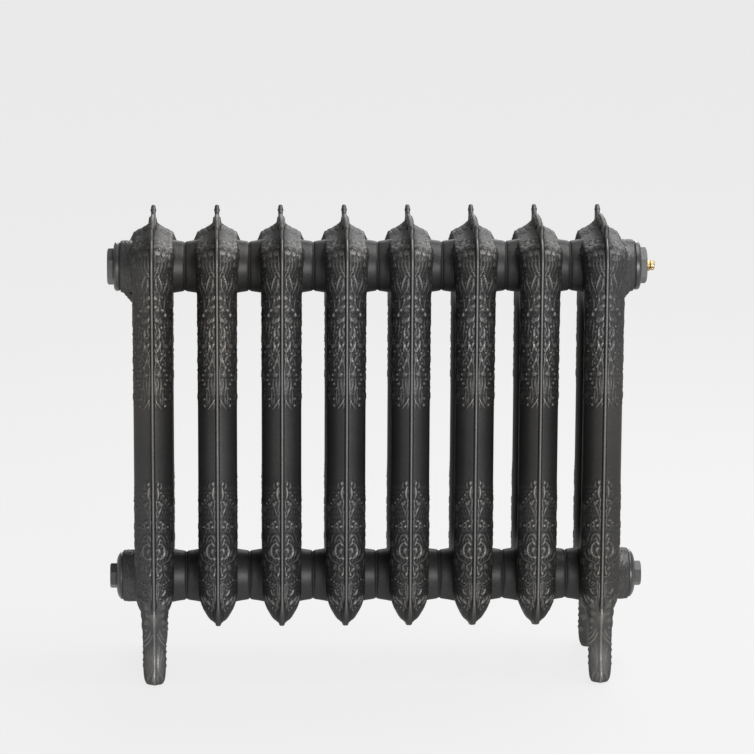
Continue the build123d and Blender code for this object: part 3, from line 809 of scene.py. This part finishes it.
# brightness across the ridge from tip to root: a painted highlight along its narrow top, with some rubbing,
# and flanks kept light by painted light where they fall into shade
RIDGE_WEAR_AND_LIGHT = np.array([0.68, 0.62, 0.48, 0.36, 0.3, 0.26, 0.24, 0.22])
KEEL_SPREAD = 1.0           # how much wider the ridge is under the keel
CREST_HALVES = np.array([0.0, 1.2, 2.1, 2.6, 2.9])
CREST_DEPTHS = np.array([0.0, 0.15, 0.7, 1.6, 3.0])
# brightness across the crest: lighter along its top, partly rubbing and partly painted highlight
CREST_WEAR_AND_LIGHT = np.array([0.42, 0.4, 0.36, 0.33, 0.3, 0.22, 0.18])
CREST_SINK = 4              # the foot of the crest is this far inside the roof
CREST_ROOT_RISE = 6         # and it starts to widen this far above its foot
CREST_FOOT_HALF = 3.3
CREST_ROOT_HALF = 2.9
CREST_FOOT_SHARE = 0.93     # length of the foot and the root as a share of the edge's
CREST_ROOT_SHARE = 0.95


def ridge_path():
    """The closed line of the ridge in (y, z), with its outward direction."""
    lean = math.hypot(1, KEEL_SLOPE)
    slope = math.degrees(math.atan(KEEL_SLOPE))
    point = KEEL_Z - KEEL_R * (lean - 1)
    turn_y = RIDGE_Y - KEEL_CORNER_R
    turn_z = point + KEEL_SLOPE * turn_y + KEEL_CORNER_R * lean
    roof_r = ROOF_CORNER_R + RIDGE_STANDS
    roof_y, roof_z = RIDGE_Y - roof_r, ROOF_Z - ROOF_CORNER_R
    arcs = [((-roof_y, roof_z), roof_r, 90, 180), ((-turn_y, turn_z), KEEL_CORNER_R, 180, 270 - slope),
            ((0, point + KEEL_R * lean), KEEL_R, 270 - slope, 270 + slope),
            ((turn_y, turn_z), KEEL_CORNER_R, 270 + slope, 360), ((roof_y, roof_z), roof_r, 0, 90)]
    path = []
    for centre, r, start, end in arcs:
        for angle in np.radians(np.linspace(start, end, 15)):
            c, s = math.cos(angle), math.sin(angle)
            path.append((centre[0] + r * c, centre[1] + r * s, c, s))
    return np.array(path)


def spaced(path, step):
    """The same closed path with extra points wherever two are further apart than step."""
    points = []
    for here, ahead in zip(path, np.roll(path, -1, axis=0)):
        count = max(1, round(math.hypot(*(ahead - here)[:2]) / step))
        for k in range(count):
            points.append(here + (ahead - here) * k / count)
    return np.array(points)


def edge_rows(path, halves, depths):
    """Both sides of a rounded edge along a path, as rows of points from its tip inwards and back."""
    rows = []
    for side, order in ((1, slice(None)), (-1, slice(None, 0, -1))):
        half, depth = halves[order], depths[order]
        x = np.broadcast_to(side * half, (len(path), len(half)))
        y = path[:, 0:1] - path[:, 2:3] * depth
        z = path[:, 1:2] - path[:, 3:4] * depth
        rows.append(np.stack([x, y, z], -1))
    return np.concatenate(rows, axis=1)


def ridge():
    """The ridge round the whole section: a narrow rounded edge, sloping flanks and a flared root."""
    path = spaced(ridge_path(), 9)
    points = edge_rows(path, RIDGE_HALVES, RIDGE_DEPTHS)
    wear_and_light = np.concatenate([RIDGE_WEAR_AND_LIGHT, RIDGE_WEAR_AND_LIGHT[:0:-1]])
    above_keel = smooth_step(path[:, 1:2], 84, 112)
    points[..., 0] *= 1 + KEEL_SPREAD * (1 - above_keel)
    # under the keel the ridge's brightness is pulled down, so it is darker towards the bottom
    rub_and_light_level = 0.35 + 0.65 * above_keel
    wear_and_light = 0.12 + (wear_and_light - 0.12) * rub_and_light_level
    return looped(points, wear_and_light)


def crest():
    """The plate along the roof, with a rounded finial at each end."""
    right = np.array(CREST_LINE, float)
    line = smooth_curve(np.vstack([right[:-1] * (-1, 1), right[::-1]]), 5)
    along = np.gradient(line, axis=0)
    along /= np.linalg.norm(along, axis=1, keepdims=True)
    path = np.column_stack([line, -along[:, 1], along[:, 0]])
    points = edge_rows(path, CREST_HALVES, CREST_DEPTHS)
    count = len(CREST_HALVES)
    foot_z = np.minimum(ROOF_Z - CREST_SINK, line[:, 1])
    root_z = np.minimum(foot_z + CREST_ROOT_RISE, line[:, 1])
    for side, place in ((1, count), (-1, count + 2)):
        foot_x = np.full(len(line), side * CREST_FOOT_HALF)
        root_x = np.full(len(line), side * CREST_ROOT_HALF)
        foot = np.column_stack([foot_x, line[:, 0] * CREST_FOOT_SHARE, foot_z])
        root = np.column_stack([root_x, line[:, 0] * CREST_ROOT_SHARE, root_z])
        added = np.stack([root, foot] if side > 0 else [foot, root], axis=1)
        points = np.concatenate([points[:, :place], added, points[:, place:]], axis=1)
    wear_and_light = np.concatenate([CREST_WEAR_AND_LIGHT, CREST_WEAR_AND_LIGHT[:0:-1]])
    return capped(points, wear_and_light)


def dome(centre, axes, wear_and_light, rings=5, segments=12):
    """A closed rounded boss, an ellipsoid with the given half sizes."""
    lat = np.linspace(0, math.pi, rings * 2)[:, None]
    lon = np.linspace(0, 2 * math.pi, segments, endpoint=False)[None, :]
    x, y, z = np.sin(lat) * np.cos(lon), np.sin(lat) * np.sin(lon), np.cos(lat)
    sphere = np.stack(np.broadcast_arrays(x, y, z), -1)
    points = sphere * np.array(axes) + np.array(centre)
    return Shell(points, quads(rings * 2, segments, wrap=True), wear_and_light)


def crest_beads():
    """A short scalloped ornament on each side of the crest, at its middle, and an eye in each finial."""
    shells = []
    for side in (-1, 1):
        for k in range(-3, 4):
            y = 7.4 * k
            # the beads are given a lighter value, partly rubbing and partly painted highlight
            shells.append(dome((side * 3.0, y, 575.6 - 0.5 * abs(k)), (1.9, 3.0, 2.9), 0.55))
            shells.append(dome((side * 3.4, y + 3.7, 570.2), (2.0, 2.6, 2.9), 0.4))
        for y in (-66, 66):
            shells.append(dome((side * 2.3, y, 576.4), (1.4, 2.4, 2.6), 0.5))
    return joined(shells)


# --- hubs, bosses and legs ---
def hub(side, z):
    """One hub half, with a soft shoulder and a narrow turned band at its face."""
    profile = [(8, BORE_R), (HUB_FACE_X, BORE_R), (HUB_FACE_X, HUB_FACE_R - 1.6), (39.2, HUB_FACE_R - 0.9),
               (38.6, HUB_FACE_R - 0.3), (37.6, HUB_FACE_R + 0.15), (36, HUB_FACE_R + 0.5),
               (33, HUB_FACE_R + 0.95),
               (30, HUB_FACE_R + 1.4), (27, HUB_FACE_R + 1.9), (25, HUB_FACE_R + 2.3), (23, HUB_ROOT_R + 1.3),
               (18, HUB_ROOT_R + 2), (8, HUB_ROOT_R)]
    shell = turned(profile, z, wear_and_light=0.24)
    return shell if side > 0 else shell.mirrored(0)


def boss_relief():
    """Leaves that run round a boss: girth is the way round it, height the way along it."""
    relief = Relief(2 * math.pi * BOSS_R + 4, 0, BOSS_FACE_X + 2)
    count = 16
    spacing = 2 * math.pi * BOSS_R / count
    for k in range(count):
        at = spacing * (k + 0.5)
        sway = 1.3 * math.sin(2.3 * k)
        relief.stroke([(at - 5.5, 34.5 + sway), (at, 32 + sway), (at + 5.5, 34)], 2.4, 1.1, 0.3, 0.3)
        relief.stroke([(at - 4, 29 - sway), (at + 1, 27.4), (at + 6, 29.5)], 2.6, 1.2, 0.3, 0.3)
        relief.stroke([(at - 6, 23.6), (at - 1, 22 + sway), (at + 4.4, 24.2)], 2.4, 1.1, 0.3, 0.3)
        relief.bead(at + 5.4, 31 + sway * 0.5, 1.6, 1.0)
        relief.bead(at + 1.5, 36.4, 1.2, 0.8)
    relief.soften(1)
    return relief


def boss(z, relief):
    """The outer boss of an end section, on its +X side, spreading at its root into the columns."""
    outer = smooth_curve([(15, 31.6), (24, 32.3), (32, 32.7), (38, 32.9)], 7)
    rim = [(39.2, 32.7), (39.8, 32.2), (BOSS_FACE_X, 31.4), (BOSS_FACE_X, BORE_R), (15, BORE_R)]
    profile = np.vstack([outer, rim])
    segments = 144
    angle = np.linspace(0, 2 * math.pi, segments, endpoint=False)
    x = np.broadcast_to(profile[:, 0:1], (len(profile), segments))
    r = np.broadcast_to(profile[:, 1:2], (len(profile), segments)).copy()
    wall = r > BOSS_WALL_R
    edge = BOSS_EDGE_X - x
    leaves = relief.sample(np.broadcast_to(angle * BOSS_R, r.shape), x)
    height = BOSS_LIFT * leaves * wall * smooth_step(edge, 0, 1.5)
    spread = np.where(wall, 1 + BOSS_FLARE * np.clip(edge / BOSS_FLARE_LENGTH, 0, 1.2) ** 1.6, 1)
    inset = BOSS_INSET * wall
    y = (r * spread + height - inset) * np.cos(angle)
    # the boss is lighter than the body and its leaves lighter still, partly rubbing and partly painted
    # highlight
    return looped(np.stack([x, y, z + (r + height - inset) * np.sin(angle)], -1), 0.35 + 0.22 * height)


def gusset():
    """The bracket that slopes from the top boss down to the column, with a scalloped edge."""
    slope = np.linspace(0, 1, 24)
    turn = np.linspace(-math.pi / 2, math.pi / 2, 15)
    s, a = np.meshgrid(slope, turn, indexing="ij")
    scallop = SCALLOP * np.abs(np.sin(s * math.pi * SCALLOP_COUNT))
    depth = GUSSET_BULGE * (1 - np.cos(a))
    x = GUSSET_TOP_X - GUSSET_RUN_X * s - 0.62 * depth + scallop * np.cos(a) * 0.7
    z = GUSSET_TOP_Z - GUSSET_DROP_Z * s + 0.78 * depth - scallop * np.cos(a) * 0.7
    outer = np.stack([x, GUSSET_HALF_Y * np.sin(a), z], -1)
    inner = outer + np.array(GUSSET_BACK) * np.cos(a)[..., None] * 0.4
    points = np.concatenate([outer, inner[:, ::-1]], axis=1)
    return capped(points, 0.35)


def leg(relief):
    """A front leg as loops round it, level by level, with a prow down its front."""
    z = levels((0, 6, 1.0), (6, LEG_TOP_Z, LEG_STEP))
    turn = np.linspace(-math.pi, math.pi, LEG_COLUMNS, endpoint=False)
    front, back = Outline(LEG_FRONT)(z), Outline(LEG_BACK)(z)
    half, prow = Outline(LEG_HALF)(z), Outline(LEG_PROW)(z)
    spread = np.sign(turn) * math.pi * np.abs(turn / math.pi) ** LEG_CROWD
    cos, sin = np.cos(spread)[None, :], np.sin(spread)[None, :]
    x = half[:, None] * np.sign(sin) * np.abs(sin) ** LEG_SQUARE
    depth = ((front - back) / 2)[:, None]
    y = -((front + back) / 2)[:, None] - depth * np.sign(cos) * np.abs(cos) ** LEG_SQUARE
    ahead = np.clip(cos, 0, 1)
    knee = bell(z, KNEE_SPREAD, KNEE_Z)[:, None]
    nose = bell(x, 1.9) + (0.3 + 0.45 * knee) * bell(x, 5.5)
    y = y - prow[:, None] * nose / 1.3 * ahead
    points = np.stack([x, y, np.broadcast_to(z[:, None], x.shape)], -1)

    steps = np.linalg.norm(np.diff(points, axis=1, append=points[:, :1]), axis=2)
    middle = LEG_COLUMNS // 2
    along = np.cumsum(steps, axis=1)
    girth = np.abs(along - along[:, middle - 1 : middle])
    height = relief.sample(girth, np.broadcast_to(z[:, None], x.shape)) * smooth_step(girth, 1.5, 3.5)
    height = height * smooth_step(points[..., 2], 1.0, 4.0)
    outward = grid_normals(points)
    outward *= -np.sign(outward[:, middle, 1].mean())
    points = points + outward * height[..., None]
    points[..., 1] = np.maximum(points[..., 1], -LEG_LIMIT_Y)
    toe = bell(z, TOE_SPREAD, TOE_Z)[:, None]
    # painted highlights: a narrow one down the prow line and broad ones on the knee and the toe; raised
    # ornament is lighter too, partly rubbing and partly painted highlight
    knee_toe_highlight = 0.4 * knee * bell(x, 4.5) + 0.3 * toe * bell(x, 8.5)
    return capped(points, 0.37 + 0.3 * height + (0.45 * bell(x, 1.3) + knee_toe_highlight) * ahead)


# --- materials ---
class Nodes:
    """A small helper that adds and links the nodes of one material."""

    def __init__(self, name):
        self.material = bpy.data.materials.new(name)
        self.material.use_nodes = True
        self.tree = self.material.node_tree
        self.shader = self.tree.nodes["Principled BSDF"]
        self.position = self.add("ShaderNodeTexCoord").outputs["Object"]

    def add(self, kind, **settings):
        node = self.tree.nodes.new(kind)
        for name, value in settings.items():
            setattr(node, name, value)
        return node

    def link(self, source, target):
        self.tree.links.new(source, target)

    def feed(self, socket, value):
        """Sets a socket to a number or a colour, or links a node's output to it."""
        if isinstance(value, (int, float)):
            socket.default_value = value
        elif isinstance(value, tuple):
            socket.default_value = (*value, 1)
        else:
            self.link(value, socket)

    def noise(self, scale, detail=4.0, roughness=0.55):
        node = self.add("ShaderNodeTexNoise")
        node.inputs["Scale"].default_value = scale
        node.inputs["Detail"].default_value = detail
        node.inputs["Roughness"].default_value = roughness
        self.link(self.position, node.inputs["Vector"])
        return node.outputs["Fac"]

    def ramp(self, source, stops):
        """Colours or greys against a value; a stop is (place, value or colour)."""
        node = self.add("ShaderNodeValToRGB")
        elements = node.color_ramp.elements
        while len(elements) < len(stops):
            elements.new(0.5)
        for element, (place, colour) in zip(elements, stops):
            element.position = place
            colour = (colour,) * 3 if isinstance(colour, (int, float)) else colour
            element.color = (*colour, 1)
        self.link(source, node.inputs["Fac"])
        return node.outputs["Color"]

    def mix(self, factor, a, b, blend="MIX"):
        node = self.add("ShaderNodeMix", data_type="RGBA", blend_type=blend)
        self.feed(node.inputs["Factor"], factor)
        self.feed(node.inputs[6], a)
        self.feed(node.inputs[7], b)
        return node.outputs[2]

    def math(self, operation, a, b):
        node = self.add("ShaderNodeMath", operation=operation)
        self.feed(node.inputs[0], a)
        self.feed(node.inputs[1], b)
        return node.outputs[0]

    def bump(self, height, strength, distance_mm):
        node = self.add("ShaderNodeBump")
        node.inputs["Strength"].default_value = strength
        node.inputs["Distance"].default_value = distance_mm * MM
        self.link(height, node.inputs["Height"])
        self.link(node.outputs["Normal"], self.shader.inputs["Normal"])

    def finish(self, colour, roughness, metallic):
        self.link(colour, self.shader.inputs["Base Color"])
        self.link(roughness, self.shader.inputs["Roughness"])
        self.shader.inputs["Metallic"].default_value = metallic
        return self.material


def casting_material():
    """Dark graphite cast iron: sand grain, cloudy tone, and raised parts brighter, partly as rubbing and
    partly as painted highlight, with painted shade in the hollows.
    """
    n = Nodes("cast_iron_graphite")
    wear_and_light = n.add("ShaderNodeAttribute", attribute_name="wear_and_light").outputs["Fac"]
    cloud = n.noise(9, 5)
    grain = n.noise(420, 3, 0.6)
    # the brightness attribute, rubbing plus painted highlight on raised parts and painted shade in hollows,
    # is varied by the cloud and turned into colour by the ramp
    rub_and_light_level = n.math("ADD", wear_and_light, n.math("MULTIPLY", n.math("SUBTRACT", cloud, 0.5), 0.25))
    tone = n.ramp(rub_and_light_level, [(0.08, (0.023, 0.0232, 0.0236)), (0.27, (0.058, 0.0585, 0.0590)),
                           (0.55, (0.120, 0.1195, 0.1185)), (0.95, (0.235, 0.232, 0.227))])
    fleck = n.ramp(grain, [(0.3, 0.82), (0.7, 1.12)])
    warm = n.ramp(n.noise(3.2, 2), [(0.42, (1.0, 1.0, 1.0)), (0.7, (1.06, 1.0, 0.93))])
    colour = n.mix(1.0, n.mix(1.0, tone, fleck, "MULTIPLY"), warm, "MULTIPLY")
    rough = n.math("ADD", n.math("MULTIPLY", grain, 0.16), n.math("MULTIPLY", cloud, 0.12))
    rough = n.math("ADD", rough, n.math("SUBTRACT", 0.36, n.math("MULTIPLY", wear_and_light, 0.14)))
    n.bump(n.math("ADD", grain, n.math("MULTIPLY", n.noise(110, 4), 1.6)), 0.35, 0.35)
    n.shader.inputs["Specular Tint"].default_value = (0.35, 0.35, 0.35, 1)
    n.shader.inputs["Specular IOR Level"].default_value = 0.25
    return n.finish(colour, rough, 0.65)


def fitting_material():
    """Plugs and bushes: machined malleable iron with a thin dark finish and a faint turning grain."""
    n = Nodes("malleable_iron_fitting")
    cloud = n.noise(22, 5)
    grain = n.noise(600, 3)
    colour = n.mix(1.0, n.ramp(cloud, [(0.35, (0.048, 0.048, 0.049)), (0.65, (0.085, 0.0845, 0.083))]),
                   n.ramp(grain, [(0.35, 0.88), (0.65, 1.1)]), "MULTIPLY")
    rough = n.math("ADD", n.math("MULTIPLY", grain, 0.12), n.math("MULTIPLY", cloud, 0.16))
    n.bump(n.math("ADD", grain, n.math("MULTIPLY", cloud, 0.8)), 0.2, 0.2)
    return n.finish(colour, n.math("ADD", rough, 0.24), 0.6)


def nipple_material():
    """Bare machined iron inside the joints."""
    n = Nodes("bare_iron_nipple")
    grain = n.noise(500, 3)
    colour = n.ramp(grain, [(0.3, (0.17, 0.168, 0.165)), (0.7, (0.27, 0.265, 0.26))])
    n.bump(grain, 0.2, 0.2)
    return n.finish(colour, n.math("ADD", n.math("MULTIPLY", grain, 0.2), 0.25), 0.95)


def gasket_material():
    """Dark pressed-fibre joint rings."""
    n = Nodes("dark_fibre_gasket")
    grain = n.noise(900, 2)
    colour = n.ramp(grain, [(0.3, (0.010, 0.010, 0.010)), (0.7, (0.022, 0.021, 0.020))])
    n.bump(grain, 0.4, 0.2)
    return n.finish(colour, n.math("ADD", n.math("MULTIPLY", grain, 0.2), 0.6), 0.0)


def brass_material():
    """Turned brass of the air vent, a little dulled."""
    n = Nodes("dulled_brass")
    cloud = n.noise(160, 4)
    colour = n.ramp(cloud, [(0.3, (0.20, 0.145, 0.065)), (0.7, (0.42, 0.33, 0.17))])
    n.bump(n.noise(1400, 2), 0.15, 0.1)
    return n.finish(colour, n.math("ADD", n.math("MULTIPLY", cloud, 0.25), 0.18), 1.0)


def steel_material():
    """The polished ball in the vent."""
    n = Nodes("steel_ball")
    cloud = n.noise(300, 2)
    colour = n.ramp(cloud, [(0.3, (0.46, 0.46, 0.47)), (0.7, (0.62, 0.62, 0.63))])
    return n.finish(colour, n.math("ADD", n.math("MULTIPLY", cloud, 0.1), 0.15), 1.0)


def floor_material():
    """Plain pale studio floor, lit mostly by itself."""
    n = Nodes("pale_floor")
    n.shader.inputs["Base Color"].default_value = (0.07, 0.07, 0.07, 1)
    n.shader.inputs["Emission Color"].default_value = (1, 1, 1, 1)
    n.shader.inputs["Emission Strength"].default_value = 0.785
    n.shader.inputs["Roughness"].default_value = 0.9
    n.shader.inputs["Specular IOR Level"].default_value = 0.1
    return n.material


# --- pieces ---
def make_mesh(name, shell):
    """Welds a shell's equal points, drops its collapsed faces and turns it into a smooth mesh in metres."""
    _, first, index = np.unique(np.round(shell.points, 3), axis=0, return_index=True, return_inverse=True)
    faces = index.reshape(-1)[shell.faces]
    ordered = np.sort(faces, axis=1)
    repeats = (np.diff(ordered, axis=1) == 0).sum(1)
    face_list = faces[repeats == 0].tolist()
    face_list += [list(dict.fromkeys(f)) for f in faces[repeats == 1].tolist()]
    mesh = bpy.data.meshes.new(name)
    mesh.from_pydata((shell.points[first] * MM).tolist(), [], face_list)
    # the per-point brightness, rubbing with painted highlight and shade, goes to the material as an attribute
    wear_and_light = mesh.attributes.new("wear_and_light", "FLOAT", "POINT")
    wear_and_light.data.foreach_set("value", shell.wear_and_light[first].astype(np.float32))
    mesh.validate()
    clean = bmesh.new()
    clean.from_mesh(mesh)
    bmesh.ops.recalc_face_normals(clean, faces=clean.faces)
    clean.to_mesh(mesh)
    clean.free()
    mesh.shade_smooth()
    return mesh


def add_piece(name, shell, material, node):
    """Adds a piece that rides on the radiator and replaces one CAD node."""
    piece = bpy.data.objects.new(name, make_mesh(name, shell))
    bpy.context.scene.collection.objects.link(piece)
    piece.data.materials.append(material)
    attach(piece, "radiator")
    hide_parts(node)


def section_places():
    """The middle of each section along X, in millimetres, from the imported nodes."""
    low_2, high_2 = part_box("section_2")
    low_3, high_3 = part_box("section_3")
    second = (low_2.x + high_2.x) / 2 / MM
    pitch = (low_3.x + high_3.x) / 2 / MM - second
    return [second + pitch * (k - 1) for k in range(8)]


def add_sections(material):
    """The eight castings: six alike, and two ends that mirror each other."""
    casting = body((casting_relief(), roof_relief()))
    edge = joined([ridge(), crest(), crest_beads()])
    hubs = [hub(side, z) for side in (-1, 1) for z in (HUB_LOW_Z, HUB_HIGH_Z)]
    middle = joined([casting, edge] + hubs)

    front_leg = leg(leg_relief())
    inner_hubs = [hub(-1, z) for z in (HUB_LOW_Z, HUB_HIGH_Z)]
    leaves = boss_relief()
    # the outer faces of the end sections are evened towards one tone, which tones down their painted
    # highlights and shade
    outer = smooth_step(casting.points[:, 0], 2, 8)
    end_wear_and_light = casting.wear_and_light + outer * OUTER_CALM * (OUTER_EVEN_TONE - casting.wear_and_light)
    end_casting = Shell(casting.points, casting.faces, end_wear_and_light)
    right_end = joined([end_casting, edge, front_leg, front_leg.mirrored(1), boss(HUB_LOW_Z, leaves),
                        boss(HUB_HIGH_Z, leaves), gusset()] + inner_hubs)
    left_end = right_end.mirrored(0)
    for k, x in enumerate(section_places()):
        shape = left_end if k == 0 else right_end if k == 7 else middle
        add_piece(f"casting_{k + 1}", shape.moved(x), material, f"section_{k + 1}")


def dress_cad_nodes():
    """Gives every carried-over CAD node its own material."""
    materials = {"fitting": fitting_material(), "nipple": nipple_material(), "gasket": gasket_material(),
                 "vent": brass_material(), "seal": steel_material()}
    for part in frame["record"]["subparts"]:
        material = materials.get(part["material_slot"])
        node = frame["nodes"][part["node"]]
        if material:
            node.data.materials.clear()
            node.data.materials.append(material)


# --- floor, light and camera ---
WORLD_STRENGTH = 0.36
# Each light's place and target, its size in metres, its power in watts and its spread in degrees.
LIGHTS = {"key": ((1.0, -4.4, 0.85), (0.0, 0.0, 0.35), (1.2, 1.5), 130, 180),
          "top": ((1.1, 0.2, 2.5), (0.1, 0.0, 0.5), (2.2, 2.0), 72, 180),
          "back": ((0.5, 3.0, 1.6), (0.0, 0.0, 0.5), (2.6, 1.2), 8.5, 60)}
FLOOR_HALF = 30.0
CAMERA_PLACE = (-0.1888, -5.1598, 1.6)
CAMERA_ANGLES = (13.131, 2.04, 0.274)       # downwards, to the right and rolled, in degrees
CAMERA_LENS = 201.65
CAMERA_SHIFT = (0.0001, -0.0208)


def add_floor():
    """The floor the radiator stands on."""
    a = FLOOR_HALF
    mesh = bpy.data.meshes.new("floor")
    mesh.from_pydata([(-a, -a, 0), (a, -a, 0), (a, a, 0), (-a, a, 0)], [], [(0, 1, 2, 3)])
    mesh.materials.append(floor_material())
    floor = bpy.data.objects.new("floor", mesh)
    bpy.context.scene.collection.objects.link(floor)


def add_area_light(name, place, target, size, power, spread):
    light = bpy.data.lights.new(name, "AREA")
    light.spread = math.radians(spread)
    light.shape = "RECTANGLE"
    light.size, light.size_y = size
    light.energy = power
    lamp = bpy.data.objects.new(name, light)
    lamp.location = place
    lamp.rotation_euler = (Vector(target) - Vector(place)).to_track_quat("-Z", "Y").to_euler()
    bpy.context.scene.collection.objects.link(lamp)


def add_lights():
    """A pale surrounding and three soft lights."""
    world = bpy.data.worlds.new("studio")
    bpy.context.scene.world = world
    world.use_nodes = True
    world.node_tree.nodes["Background"].inputs["Color"].default_value = (1, 1, 1, 1)
    world.node_tree.nodes["Background"].inputs["Strength"].default_value = WORLD_STRENGTH
    for name, settings in LIGHTS.items():
        add_area_light(name, *settings)


def add_camera():
    """A long lens, a little above the radiator and left of its middle."""
    pitch, yaw, roll = (math.radians(angle) for angle in CAMERA_ANGLES)
    ahead = Vector((math.sin(yaw) * math.cos(pitch), math.cos(yaw) * math.cos(pitch), -math.sin(pitch)))
    level = Vector((math.cos(yaw), -math.sin(yaw), 0))
    upright = level.cross(ahead)
    right = math.cos(roll) * level + math.sin(roll) * upright
    up = math.cos(roll) * upright - math.sin(roll) * level
    camera = bpy.data.cameras.new("camera")
    camera.sensor_width = 36
    camera.lens = CAMERA_LENS
    camera.shift_x, camera.shift_y = CAMERA_SHIFT
    camera.clip_end = 100
    eye = bpy.data.objects.new("camera", camera)
    facing = Matrix((right, up, -ahead)).transposed().to_4x4()
    eye.matrix_world = Matrix.Translation(CAMERA_PLACE) @ facing
    bpy.context.scene.collection.objects.link(eye)
    bpy.context.scene.camera = eye


add_sections(casting_material())
dress_cad_nodes()
add_floor()
add_lights()
add_camera()
bpy.context.scene.view_settings.view_transform = "Standard"
